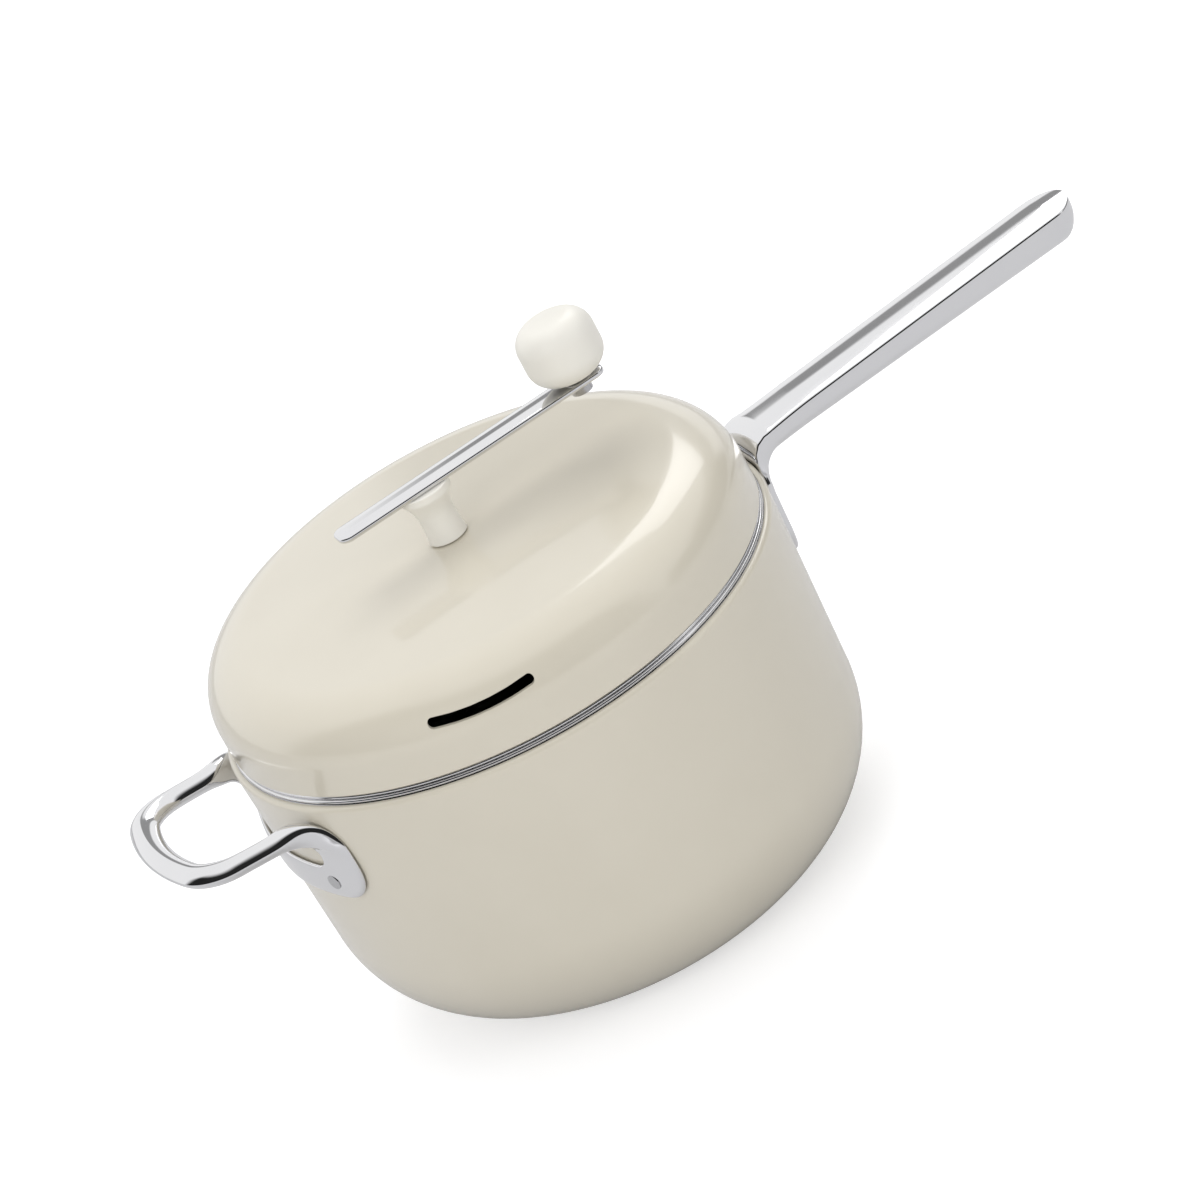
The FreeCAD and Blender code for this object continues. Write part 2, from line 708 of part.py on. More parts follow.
def long_handle():
    """Cast bar, thin at its root and deep at its tip, bent down into a riveted shield plate."""
    face = wall_radius(grip_root_low) + bond_gap + plate_wall
    back = face - plate_wall
    inside = back - plate_wall
    bend_end = face + grip_bend_inner
    nose_start = grip_length - grip_nose_round
    tip_low = grip_root_low + (nose_start - bend_end) * sine(grip_low_angle) / cosine(grip_low_angle)
    side = padded("bar_side", "XZ_Plane", [
        (inside, grip_root_low - grip_bend_inner),
        (face, grip_root_low - grip_bend_inner),
        (bend_end, grip_root_low, grip_bend_inner, 1),
        (nose_start, tip_low),
        (grip_length, tip_low + grip_nose_round, grip_nose_round, -1),
        (grip_length, grip_tip_high - grip_nose_edge),
        (grip_length - grip_nose_edge, grip_tip_high, grip_nose_edge, -1),
        (back + grip_bend_outer, grip_root_high),
        (back, grip_root_high - grip_bend_outer, grip_bend_outer, 1),
        (inside, grip_root_high - grip_bend_outer)], grip_width)
    edge = grip_width / 2
    easing = padded("bar_easing", "YZ_Plane", [
        (-edge - grip_low_round, grip_low_round),
        (-edge - grip_low_round, -grip_low_round),
        (edge + grip_low_round, -grip_low_round),
        (edge + grip_low_round, grip_low_round),
        (edge, grip_low_round),
        (edge - grip_low_round, zero, grip_low_round, 1),
        (grip_low_round - edge, zero),
        (-edge, grip_low_round, grip_low_round, 1)], grip_overhang * 2)
    place(easing, x=bend_end + grip_overhang * cosine(grip_low_angle),
          z=grip_root_low + grip_overhang * sine(grip_low_angle), pitch=-grip_low_angle)
    plan = padded("bar_plan", "XY_Plane", rounded_outline(
        inside - grip_plan_round, grip_length, grip_width / 2, grip_plan_round, grip_plan_round),
        grip_tip_high * 3)
    seat = wall_cone("bar_seat", bond_gap, corner_radius, jacket_top)
    bar = cut("bar_trimmed", common("bar", side, plan), fused("bar_cuts", [easing, seat]))
    shield = padded("shield_outline", "YZ_Plane", [
        (shield_low_round - shield_half_width, plate_bottom),
        (shield_half_width - shield_low_round, plate_bottom),
        (shield_half_width, plate_bottom + shield_low_round, shield_low_round, -1),
        (shield_half_width, plate_top - shield_top_round),
        (shield_half_width - shield_top_round, plate_top, shield_top_round, -1),
        (shield_top_round - shield_half_width, plate_top),
        (-shield_half_width, plate_top - shield_top_round, shield_top_round, -1),
        (-shield_half_width, plate_bottom + shield_low_round)], loop_root_radius)
    place(shield, x=loop_root_radius)
    plate = common("shield", plate_shell("shield_layer"), shield)
    return cut("grip_drilled", fused("grip_cast", [bar, plate]), drills("grip_drill", grip_spots))


keep("helper_handle", helper_handle())
keep("long_handle", long_handle())


# ---------------------------------------------------------------- lid
def lid_shell():
    """Deep pressed lid: straight skirt, three tangent arcs, steam slots in the shoulder."""
    outside = dome_corners(zero)
    inside = dome_corners(lid_wall)

    def dome(arcs, side):
        first, second, crown, start, middle, middle_height, end, end_height, apex = arcs
        corners = [(start, skirt_top), (middle, middle_height), (end, end_height), (zero, apex)]
        radii = [first, second, crown]
        if side > 0:
            corners.reverse()
            radii.reverse()
        arcs = [corner + (radius, side) for corner, radius in zip(corners[1:], radii)]
        return [corners[0]] + arcs

    shell = turned("dome", [(lid_radius - lid_wall, lid_bottom), (lid_radius, lid_bottom)]
                   + dome(outside, -1) + dome(inside, 1))
    cuts = [cylinder("lid_bore", bush_radius + fixed_gap, lid_apex), steam_slots()]
    return cut("lid_pierced", shell, fused("lid_cuts", cuts))


def steam_slots():
    """Tool for two long slots with round ends, opposite each other, each lower in its middle."""
    reach = lid_radius * sine(vent_angle / 2)
    half = vent_width / 2
    dip = reach / vent_dip_ratio / 2
    tool = padded("vents", "YZ_Plane", [
        (reach, -half, dip + half, -1),
        (reach + half, zero, half, -1),
        (reach, half, half, -1),
        (-reach, half, dip - half, 1),
        (-reach - half, zero, half, -1),
        (-reach, -half, half, -1)], lid_radius * 3)
    return place(tool, z=lid_bottom + vent_rise, yaw=vent_bearing_angle)


def bearing_bush():
    """Flanged bush, the bearing that the crank shaft turns in."""
    bore = shaft_radius + running_gap
    return turned("bush", [
        (bore, bush_bottom),
        (bush_radius, bush_bottom),
        (bush_radius, lid_apex),
        (bush_flange_radius, lid_apex),
        (bush_flange_radius, bush_top),
        (bore, bush_top)])


def bush_nut():
    """Hexagon nut that clamps the bush to the lid from inside."""
    hexagon = document.addObject("Part::Prism", "nut_blank")
    bind(hexagon, Circumradius=nut_flats / 2 / cosine(quarter_turn / 3), Height=nut_height)
    place(hexagon, z=nut_bottom)
    bore = cylinder("nut_bore", bush_radius + fixed_gap, nut_height, z=nut_bottom)
    return cut("nut", hexagon, bore)


keep("lid_shell", lid_shell())
keep("bearing_bush", bearing_bush())
keep("bush_washer", tube("washer", washer_radius, bush_radius + fixed_gap, washer_bottom,
                         washer_height))
keep("bush_nut", bush_nut())


# ---------------------------------------------------------------- crank
def crank_hub():
    """Moulded post between lid and arm, hollow at its foot over the bush and thrust washer."""
    bore = shaft_radius + fixed_gap
    cup = bush_flange_radius + stack_gap
    foot = cup + hub_wall
    waist_height = hub_bottom + hub_height / 2
    return turned("hub", [
        (cup, hub_bottom),
        (foot, hub_bottom),
        (hub_waist_radius, waist_height),
        (hub_head_radius, hub_top - arm_thickness, hub_height, 1),
        (hub_head_radius, hub_top),
        (bore, hub_top),
        (bore, thrust_top),
        (cup, thrust_top)])


def crank_arm():
    """Flat polished bar with a socket for the shaft and a hole for the knob's bolt."""
    bar = padded("arm", "XY_Plane", rounded_outline(
        -arm_tail, crank_radius + arm_nose, arm_width / 2, arm_end_round, arm_end_round),
        arm_thickness)
    rounded(bar, arm_edge_round, lambda edge: edge.BoundBox.ZMin > 0)
    place(bar, z=arm_bottom + arm_thickness / 2)
    holes = [cylinder("arm_socket", shaft_radius + fixed_gap, arm_socket_depth, z=arm_bottom),
             cylinder("arm_eye", bolt_radius + running_gap, arm_thickness, x=crank_radius, z=arm_bottom)]
    return cut("arm_drilled", bar, fused("arm_holes", holes))


def crank_shaft():
    """Steel shaft from the arm down into the stirrer's socket, grooved for its clip."""
    neck = shaft_radius - groove_depth
    blank = turned("shaft", [
        (zero, shaft_bottom),
        (shaft_radius, shaft_bottom),
        (shaft_radius, clip_bottom - rivet_gap),
        (neck, clip_bottom - rivet_gap),
        (neck, clip_top + rivet_gap),
        (shaft_radius, clip_top + rivet_gap),
        (shaft_radius, arm_bottom + arm_socket_depth - bond_gap),
        (zero, arm_bottom + arm_socket_depth - bond_gap)])
    return cut("shaft_drilled", blank, pin_hole("shaft_drill", shaft_bottom + socket_pin_inset))


def shaft_clip():
    """Open spring clip in the shaft's groove, under the bush."""
    ring = tube("clip_ring", clip_radius, shaft_radius - groove_depth + fixed_gap, clip_bottom,
                clip_height)
    mouth = document.addObject("Part::Box", "clip_mouth_cut")
    bind(mouth, Length=clip_radius * 2, Width=clip_mouth, Height=clip_height)
    place(mouth, y=-clip_mouth / 2, z=clip_bottom)
    return cut("clip", ring, mouth)


def pin(name, radius, length, height):
    """A short cylinder that lies across the shaft's axis."""
    return cylinder(name, radius, length, x=-length / 2, z=height, pitch=quarter_turn)


def pin_hole(name, height):
    return pin(name, socket_pin_radius + fixed_gap, socket_radius * 3, height)


def stirrer_socket():
    """Sleeve that joins the crank shaft to the stirrer rod with two cross pins."""
    middle = (shaft_bottom + rod_top) / 2
    blank = turned("socket", [
        (rod_radius + fixed_gap, socket_bottom),
        (socket_radius, socket_bottom),
        (socket_radius, socket_bottom + socket_length),
        (shaft_radius + fixed_gap, socket_bottom + socket_length),
        (shaft_radius + fixed_gap, middle),
        (rod_radius + fixed_gap, middle)])
    holes = [pin_hole("socket_drill_high", shaft_bottom + socket_pin_inset),
             pin_hole("socket_drill_low", rod_top - socket_pin_inset)]
    return cut("socket_drilled", blank, fused("socket_drills", holes))


def stirrer_rod():
    """Long rod from the socket down into the stirrer's hub."""
    bottom = tip_bottom + tip_length
    blank = cylinder("rod", rod_radius, rod_top - bottom, z=bottom)
    return cut("rod_drilled", blank, pin_hole("rod_drill", rod_top - socket_pin_inset))


def stirrer_hub():
    """Boss at the foot of the rod, bored down its middle and drilled across for both wires."""
    chamfer = sweep_hub_lift / 2
    bore = rod_radius + fixed_gap
    top = sweep_hub_bottom + sweep_hub_height
    blank = turned("sweep_hub", [
        (bore, sweep_hub_bottom),
        (sweep_hub_radius - chamfer, sweep_hub_bottom),
        (sweep_hub_radius, sweep_hub_bottom + chamfer),
        (sweep_hub_radius, top - chamfer),
        (sweep_hub_radius - chamfer, top),
        (bore, top)])
    return cut("sweep_hub_drilled", blank,
               pin("sweep_hub_drill", wire_radius + fixed_gap, sweep_hub_radius * 3, wire_level))


def stirrer_arm(name, bearing):
    """Round wire along the floor that turns up with the curve of the pot's corner."""
    start = rod_radius + stack_gap
    bend = corner_radius - wire_level
    straight = cylinder(name + "_run", wire_radius, flat_radius - start, x=start, z=wire_level,
                        pitch=quarter_turn)
    rise = document.addObject("Part::Torus", name + "_bend")
    bind(rise, Radius1=bend, Radius2=wire_radius, Angle3=wire_upturn_angle)
    place(rise, x=flat_radius, z=corner_radius, pitch=quarter_turn, roll=quarter_turn)
    end = document.addObject("Part::Sphere", name + "_end")
    bind(end, Radius=wire_radius)
    place(end, x=flat_radius + bend * sine(wire_upturn_angle),
          z=corner_radius - bend * cosine(wire_upturn_angle), pitch=quarter_turn - wire_upturn_angle)
    return place(fused(name + "_wire", [straight, rise, end]), yaw=bearing)


keep("crank_hub", crank_hub())
keep("crank_arm", crank_arm())
keep("crank_shaft", crank_shaft())
keep("thrust_washer", tube("thrust", thrust_radius, shaft_radius + fixed_gap, thrust_bottom,
                           thrust_height))
keep("shaft_clip", shaft_clip())
keep("stirrer_socket", stirrer_socket())
keep("socket_pins", grouped("pins", [
    pin("pin_high", socket_pin_radius, socket_radius * 2 - bond_gap, shaft_bottom + socket_pin_inset),
    pin("pin_low", socket_pin_radius, socket_radius * 2 - bond_gap, rod_top - socket_pin_inset)]))
keep("stirrer_rod", stirrer_rod())
keep("stirrer_hub", stirrer_hub())
keep("stirrer_arm_1", stirrer_arm("wire_1", zero))
keep("stirrer_arm_2", stirrer_arm("wire_2", half_turn))
keep("stirrer_tip", cylinder("tip", rod_radius, tip_length, z=tip_bottom))
keep("knob_collar", tube("collar", collar_radius, bolt_radius + running_gap, arm_top, collar_height,
                         x=crank_radius))


# ---------------------------------------------------------------- turning knob
def knob():
    """Round moulded knob with a blind pocket for its threaded insert."""
    pocket = insert_radius + fixed_gap
    pocket_top = knob_bottom + insert_length + stack_gap
    return place(turned("knob_body", [
        (pocket, knob_bottom),
        (knob_radius - knob_round, knob_bottom),
        (knob_radius, knob_bottom + knob_round, knob_round, -1),
        (knob_radius, knob_top - knob_round),
        (knob_radius - knob_round, knob_top, knob_round, -1),
        (zero, knob_top),
        (zero, pocket_top),
        (pocket, pocket_top)]), x=crank_radius)


def knob_bolt():
    """Shoulder bolt up through washer, arm and collar into the knob's insert."""
    top = knob_bottom + bolt_engagement
    return place(turned("bolt", [
        (zero, bolt_head_bottom),
        (bolt_head_radius, bolt_head_bottom),
        (bolt_head_radius, bolt_washer_bottom),
        (bolt_radius, bolt_washer_bottom),
        (bolt_radius, top),
        (zero, top)]), x=crank_radius)


keep("knob", knob())
keep("knob_insert", tube("insert", insert_radius, bolt_radius + rivet_gap, knob_bottom, insert_length,
                         x=crank_radius))
keep("knob_bolt", knob_bolt())
keep("knob_washer", tube("knob_ring", bolt_washer_radius, bolt_radius + rivet_gap, bolt_washer_bottom,
                         bolt_washer_height, x=crank_radius))

# ---------------------------------------------------------------- check and write
document.recompute()
failed = [item.Name for item in document.Objects if "Invalid" in item.State or "Error" in item.State]
if failed:
    raise SystemExit(f"did not build: {failed}")
for name, item in nodes.items():
    if item.Shape.isNull() or not item.Shape.isValid() or not item.Shape.Solids:
        raise SystemExit(f"{name} has no valid solid")

os.makedirs("parts", exist_ok=True)
for name, item in nodes.items():
    item.Shape.exportStep(f"parts/{name}.step")
    box = item.Shape.BoundBox
    print(f"{name:20s} solids {len(item.Shape.Solids)} volume {item.Shape.Volume:10.1f} "
          f"x {box.XMin:7.1f} {box.XMax:7.1f} y {box.YMin:7.1f} {box.YMax:7.1f} "
          f"z {box.ZMin:7.1f} {box.ZMax:7.1f}")
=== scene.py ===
"""Popcorn popper: smooth shells, cast handles, finishes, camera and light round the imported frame.

Metres, +Z up. The origin is the middle of the flat base and the long handle points along +X.
"""
import math
from math import radians

import bmesh
import bpy
from mathutils import Matrix, Vector


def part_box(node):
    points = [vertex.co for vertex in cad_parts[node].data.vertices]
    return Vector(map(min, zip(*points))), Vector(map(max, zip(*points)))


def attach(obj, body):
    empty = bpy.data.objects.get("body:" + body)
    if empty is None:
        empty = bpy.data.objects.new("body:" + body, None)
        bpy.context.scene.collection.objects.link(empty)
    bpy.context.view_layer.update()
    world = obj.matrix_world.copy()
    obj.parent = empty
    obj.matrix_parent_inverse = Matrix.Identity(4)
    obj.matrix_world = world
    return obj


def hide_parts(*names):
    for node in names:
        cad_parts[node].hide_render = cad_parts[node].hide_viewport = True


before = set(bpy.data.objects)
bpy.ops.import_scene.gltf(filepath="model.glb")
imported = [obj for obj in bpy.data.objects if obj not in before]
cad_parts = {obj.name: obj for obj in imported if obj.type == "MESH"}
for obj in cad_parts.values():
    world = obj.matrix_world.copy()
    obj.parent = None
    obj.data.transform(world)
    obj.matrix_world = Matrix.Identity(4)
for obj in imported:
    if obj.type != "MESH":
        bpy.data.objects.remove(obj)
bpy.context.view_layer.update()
bpy.ops.object.select_all(action="DESELECT")
mm = 0.001

# ---------------------------------------------------------------- places taken from the frame
body_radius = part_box("coated_body")[1].x
jacket_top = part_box("coated_body")[1].z
neck_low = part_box("rim_band")[0].z
pot_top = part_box("rim_band")[1].z
wave_low, wave_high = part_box("sifter_ring")[0].z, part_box("sifter_ring")[1].z
wave_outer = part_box("sifter_ring")[1].x
base_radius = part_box("base_plate")[1].x
lid_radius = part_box("lid_shell")[1].x
lid_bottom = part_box("lid_shell")[0].z
hub_bottom, hub_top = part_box("crank_hub")[0].z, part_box("crank_hub")[1].z
arm_bottom, arm_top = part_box("crank_arm")[0].z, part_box("crank_arm")[1].z
arm_left, arm_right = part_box("crank_arm")[0].x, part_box("crank_arm")[1].x
arm_half_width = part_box("crank_arm")[1].y
collar_bottom, collar_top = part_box("knob_collar")[0].z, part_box("knob_collar")[1].z
collar_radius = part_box("knob_collar")[1].y
knob_bottom, knob_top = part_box("knob")[0].z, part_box("knob")[1].z
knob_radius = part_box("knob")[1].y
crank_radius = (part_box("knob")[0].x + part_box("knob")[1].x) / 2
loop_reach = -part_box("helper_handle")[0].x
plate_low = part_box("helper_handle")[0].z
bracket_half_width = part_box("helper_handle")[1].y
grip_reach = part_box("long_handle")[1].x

# ---------------------------------------------------------------- driving dimensions
taper = 3.2 * mm
corner_round = 53 * mm
jacket_wall = 2.6 * mm
liner_wall = 1.0 * mm
bond_gap = 0.1 * mm
shoulder_round = 2.2 * mm


# ---------------------------------------------------------------- shaping tools
def outline(steps, turn=radians(6), support=0.4 * mm):
    """Points along runs and arcs. A step is (x, y) or (x, y, radius, side): 1 bulges left of the way."""
    points = [Vector(steps[0][:2])]
    for step in steps[1:]:
        start, end = points[-1], Vector(step[:2])
        run = end - start
        if len(step) == 2:
            if run.length > support * 4:
                hold = run.normalized() * support
                points += [start + hold, end - hold]
            points.append(end)
            continue
        radius, side = step[2:]
        leftward = Vector((-run.y, run.x)).normalized()
        centre = (start + end) / 2 - leftward * side * math.sqrt(max(radius ** 2 - run.length ** 2 / 4, 0))
        sweep = -side * 2 * math.asin(min(run.length / 2 / radius, 1))
        count = max(2, math.ceil(abs(sweep) / turn))
        spoke = start - centre
        points += [centre + Matrix.Rotation(sweep * k / count, 2) @ spoke for k in range(1, count + 1)]
    return points


def skin(name, rings, closed=False):
    """Extrudes a loop of points through every ring in turn; each ring has as many points."""
    if closed:
        rings = rings + [rings[0]]
    bpy.ops.mesh.primitive_circle_add(vertices=len(rings[0]), radius=1)
    piece = bpy.context.object
    piece.name = name
    bpy.ops.object.mode_set(mode="EDIT")
    mesh = bmesh.from_edit_mesh(piece.data)
    spoke = mesh.verts.layers.int.new("spoke")
    mesh.verts.ensure_lookup_table()
    for index, vertex in enumerate(mesh.verts):
        vertex[spoke] = index
        vertex.co = rings[0][index]
    for ring in rings[1:]:
        bpy.ops.mesh.extrude_region_move()
        mesh = bmesh.from_edit_mesh(piece.data)
        spoke = mesh.verts.layers.int["spoke"]
        for vertex in mesh.verts:
            if vertex.select:
                vertex.co = ring[vertex[spoke]]
    bpy.ops.mesh.select_all(action="SELECT")
    bpy.ops.mesh.remove_doubles(threshold=1e-6)
    bpy.ops.mesh.fill_holes(sides=0)
    bpy.ops.mesh.select_all(action="SELECT")
    bpy.ops.mesh.normals_make_consistent(inside=False)
    bpy.ops.object.mode_set(mode="OBJECT")
    piece.data.attributes.remove(piece.data.attributes["spoke"])
    return piece


def smoothed(piece, angle=radians(38)):
    """Smooth shading that keeps the piece's sharp corners."""
    bpy.ops.object.select_all(action="DESELECT")
    piece.select_set(True)
    bpy.context.view_layer.objects.active = piece
    bpy.ops.object.shade_smooth_by_angle(angle=angle)
    piece.select_set(False)
    return piece


def subdivided(piece, levels):
    """Applies a subdivision surface."""
    bpy.context.view_layer.objects.active = piece
    rounding = piece.modifiers.new("rounding", "SUBSURF")
    rounding.levels = rounding.render_levels = levels
    bpy.ops.object.modifier_apply(modifier=rounding.name)
    return piece


def turned(name, steps, count=192, x=0.0, closed=True, turn=radians(6)):
    """A turned piece from the outline of its section, in radius and height."""
    spokes = [Vector((math.cos(2 * math.pi * k / count), math.sin(2 * math.pi * k / count), 0))
              for k in range(count)]
    shift = Vector((x, 0, 0))
    rings = [[spoke * point.x + Vector((0, 0, point.y)) + shift for spoke in spokes]
             for point in outline(steps, turn)]
    return smoothed(skin(name, rings, closed))


def finished(piece, body, slot, coat, *nodes):
    """Puts a piece on its body, in the place of CAD nodes, with its finish."""
    piece.data.materials.clear()
    piece.data.materials.append(coat)
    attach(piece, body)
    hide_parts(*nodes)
    return piece


# ---------------------------------------------------------------- finishes
def group_socket(group, name, way, value=None):
    """Adds an input or output for one value to a node group."""
    socket = group.interface.new_socket(name=name, in_out=way, socket_type="NodeSocketFloat")
    if value is not None:
        socket.default_value = value


def mottle_group():
    """Soft clouds, from one value to another, over the object's own places."""
    group = bpy.data.node_groups.new("mottle", "ShaderNodeTree")
    for name, value in (("Scale", 30.0), ("Detail", 3.0), ("From", 0.0), ("To", 1.0)):
        group_socket(group, name, "INPUT", value=value)
    group_socket(group, "Value", "OUTPUT")
    entry = group.nodes.new("NodeGroupInput")
    leave = group.nodes.new("NodeGroupOutput")
    places = group.nodes.new("ShaderNodeTexCoord")
    clouds = group.nodes.new("ShaderNodeTexNoise")
    spread = group.nodes.new("ShaderNodeMapRange")
    spread.inputs["From Min"].default_value = 0.3
    spread.inputs["From Max"].default_value = 0.7
    link = group.links.new
    link(places.outputs["Object"], clouds.inputs["Vector"])
    link(entry.outputs["Scale"], clouds.inputs["Scale"])
    link(entry.outputs["Detail"], clouds.inputs["Detail"])
    link(clouds.outputs["Fac"], spread.inputs["Value"])
    link(entry.outputs["From"], spread.inputs["To Min"])
    link(entry.outputs["To"], spread.inputs["To Max"])
    link(spread.outputs["Result"], leave.inputs["Value"])
    return group


def rings_group():
    """Fine rings round the upright axis, as a lathe tool leaves them."""
    group = bpy.data.node_groups.new("lathe_rings", "ShaderNodeTree")
    group_socket(group, "Scale", "INPUT", value=900.0)
    group_socket(group, "Height", "OUTPUT")
    entry = group.nodes.new("NodeGroupInput")
    leave = group.nodes.new("NodeGroupOutput")
    places = group.nodes.new("ShaderNodeTexCoord")
    wave = group.nodes.new("ShaderNodeTexWave")
    wave.wave_type = "RINGS"
    wave.rings_direction = "Z"
    wave.inputs["Distortion"].default_value = 0.6
    wave.inputs["Detail"].default_value = 1.0
    link = group.links.new
    link(places.outputs["Object"], wave.inputs["Vector"])
    link(entry.outputs["Scale"], wave.inputs["Scale"])
    link(wave.outputs["Fac"], leave.inputs["Height"])
    return group


mottle = mottle_group()
lathe_rings = rings_group()


class Finish:
    """One procedural material, built up a layer at a time."""

    def __init__(self, name, colour, metallic=0.0, specular=0.5):
        self.material = bpy.data.materials.new(name)
        self.material.use_nodes = True
        self.tree = self.material.node_tree
        self.shader = self.tree.nodes["Principled BSDF"]
        self.shader.inputs["Base Color"].default_value = (*colour, 1)
        self.shader.inputs["Metallic"].default_value = metallic
        self.shader.inputs["Specular IOR Level"].default_value = specular
        self.colour = colour
        self.normal = None

    def layer(self, group, **values):
        """Adds a shared effect and gives its value."""
        node = self.tree.nodes.new("ShaderNodeGroup")
        node.node_tree = group
        for name, value in values.items():
            node.inputs[name].default_value = value
        return node.outputs[0]

    def clouded(self, other, scale, detail=3.0):
        """Lets the colour drift towards another one."""
        drift = self.tree.nodes.new("ShaderNodeMix")
        drift.data_type = "RGBA"
        drift.inputs["A"].default_value = (*self.colour, 1)
        drift.inputs["B"].default_value = (*other, 1)
        self.tree.links.new(self.layer(mottle, Scale=scale, Detail=detail), drift.inputs["Factor"])
        self.tree.links.new(drift.outputs["Result"], self.shader.inputs["Base Color"])
        return self

    def gloss(self, smooth, rough, scale, detail=4.0):
        """Lets the roughness wander between two values."""
        value = self.layer(mottle, Scale=scale, Detail=detail, From=smooth, To=rough)
        self.tree.links.new(value, self.shader.inputs["Roughness"])
        return self

    def relief(self, height, strength, depth):
        """Adds a fine relief to the surface."""
        bump = self.tree.nodes.new("ShaderNodeBump")
        bump.inputs["Strength"].default_value = strength
        bump.inputs["Distance"].default_value = depth
        self.tree.links.new(height, bump.inputs["Height"])
        if self.normal is not None:
            self.tree.links.new(self.normal, bump.inputs["Normal"])
        self.normal = bump.outputs["Normal"]
        self.tree.links.new(self.normal, self.shader.inputs["Normal"])
        return self

    def grained(self, scale, strength, depth, detail=2.0):
        """Adds the fine waviness of a moulded or polished face."""
        return self.relief(self.layer(mottle, Scale=scale, Detail=detail), strength, depth)

    def lathed(self, scale, strength, depth):
        """Adds fine turned rings."""
        return self.relief(self.layer(lathe_rings, Scale=scale), strength, depth)

    def coated(self, weight, roughness, index):
        """Adds a clear glassy layer on top."""
        self.shader.inputs["Coat Weight"].default_value = weight
        self.shader.inputs["Coat Roughness"].default_value = roughness
        self.shader.inputs["Coat IOR"].default_value = index
        return self


cream_enamel = Finish("cream_enamel", (0.64, 0.598, 0.5)).clouded((0.625, 0.583, 0.485), 25)
cream_enamel.gloss(0.3, 0.34, 40).coated(0.8, 0.1, 1.6)
cream_plastic = Finish("cream_plastic", (0.81, 0.79, 0.73)).clouded((0.795, 0.775, 0.715), 60)
cream_plastic.gloss(0.3, 0.38, 90).grained(900, 0.05, 0.04 * mm)
mirror_steel = Finish("mirror_steel", (0.80, 0.80, 0.81), 1.0).clouded((0.77, 0.77, 0.785), 35)
mirror_steel.gloss(0.045, 0.085, 45).grained(60, 0.02, 0.05 * mm)
mirror_cast = Finish("mirror_cast", (0.80, 0.80, 0.81), 1.0).clouded((0.77, 0.77, 0.785), 28)
mirror_cast.gloss(0.05, 0.1, 38).grained(90, 0.03, 0.05 * mm)
spring_steel = Finish("spring_steel", (0.56, 0.56, 0.57), 1.0).clouded((0.5, 0.5, 0.52), 50)
spring_steel.gloss(0.09, 0.16, 70).grained(300, 0.05, 0.03 * mm)
plain_steel = Finish("plain_steel", (0.55, 0.55, 0.56), 1.0).clouded((0.5, 0.5, 0.51), 120)
plain_steel.gloss(0.16, 0.28, 160).lathed(2600, 0.12, 0.02 * mm)
base_aluminium = Finish("base_aluminium", (0.66, 0.66, 0.67), 1.0).clouded((0.58, 0.58, 0.6), 30)
base_aluminium.gloss(0.24, 0.36, 60).lathed(420, 0.3, 0.05 * mm)
turned_brass = Finish("turned_brass", (0.68, 0.49, 0.2), 1.0).clouded((0.6, 0.42, 0.17), 90)
turned_brass.gloss(0.18, 0.3, 140).lathed(1800, 0.15, 0.03 * mm)
black_plastic = Finish("black_plastic", (0.03, 0.03, 0.032)).clouded((0.022, 0.022, 0.024), 90)
black_plastic.gloss(0.38, 0.5, 150).grained(1200, 0.1, 0.03 * mm)

carried_over = {
    "base_plate": base_aluminium, "helper_rivets": plain_steel, "long_handle_rivets": plain_steel,
    "bearing_bush": turned_brass, "bush_washer": plain_steel, "bush_nut": plain_steel,
    "crank_shaft": plain_steel, "thrust_washer": black_plastic, "shaft_clip": spring_steel,
    "stirrer_socket": plain_steel, "socket_pins": plain_steel, "stirrer_rod": plain_steel,
    "stirrer_hub": plain_steel, "stirrer_arm_1": plain_steel, "stirrer_arm_2": plain_steel,
    "stirrer_tip": black_plastic, "knob_insert": turned_brass, "knob_bolt": plain_steel,
    "knob_washer": plain_steel,
}
for node, finish in carried_over.items():
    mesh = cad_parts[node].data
    mesh.materials.clear()
    mesh.materials.append(finish.material)


# ---------------------------------------------------------------- pot
def wall_radius(height):
    """Outside radius of the tapered wall."""
    share = (height - corner_round) / (jacket_top - shoulder_round - corner_round)
    return body_radius - taper + taper * share


def jacket():
    """Enamelled shell: big rounded corner, tapered wall, small shoulder under the rim."""
    low = body_radius - taper
    flat = low - corner_round
    window = base_radius + bond_gap
    return turned("pot_jacket", [
        (window, 0.3 * mm),
        (window + 0.3 * mm, 0, 0.3 * mm, -1),
        (flat, 0),
        (low, corner_round, corner_round, -1),
        (body_radius, jacket_top - shoulder_round),
        (body_radius - shoulder_round, jacket_top, shoulder_round, -1),
        (wall_radius(jacket_top) - jacket_wall, jacket_top),
        (low - jacket_wall, corner_round),
        (flat, jacket_wall, corner_round - jacket_wall, 1),
        (window, jacket_wall)], count=256, turn=radians(4))


def liner():
    """Polished inner pot."""
    outer = jacket_wall + bond_gap
    inner = outer + liner_wall
    top = jacket_top - bond_gap
    low = body_radius - taper
    flat = low - corner_round
    return turned("pot_liner", [
        (0, outer),
        (flat, outer),
        (low - outer, corner_round, corner_round - outer, -1),
        (wall_radius(top) - outer, top),
        (wall_radius(top) - inner, top),
        (low - inner, corner_round),
        (flat, inner, corner_round - inner, 1),
        (0, inner)], count=224, closed=False, turn=radians(4))


neck_radius = 115 * mm
neck_wall = 1.4 * mm
neck_height = 9.5 * mm
lip_roll = 0.8 * mm
neck_round = 1.6 * mm
bead = 0.85 * mm
flange_radius = 118.2 * mm
tongue_wall = 1.2 * mm


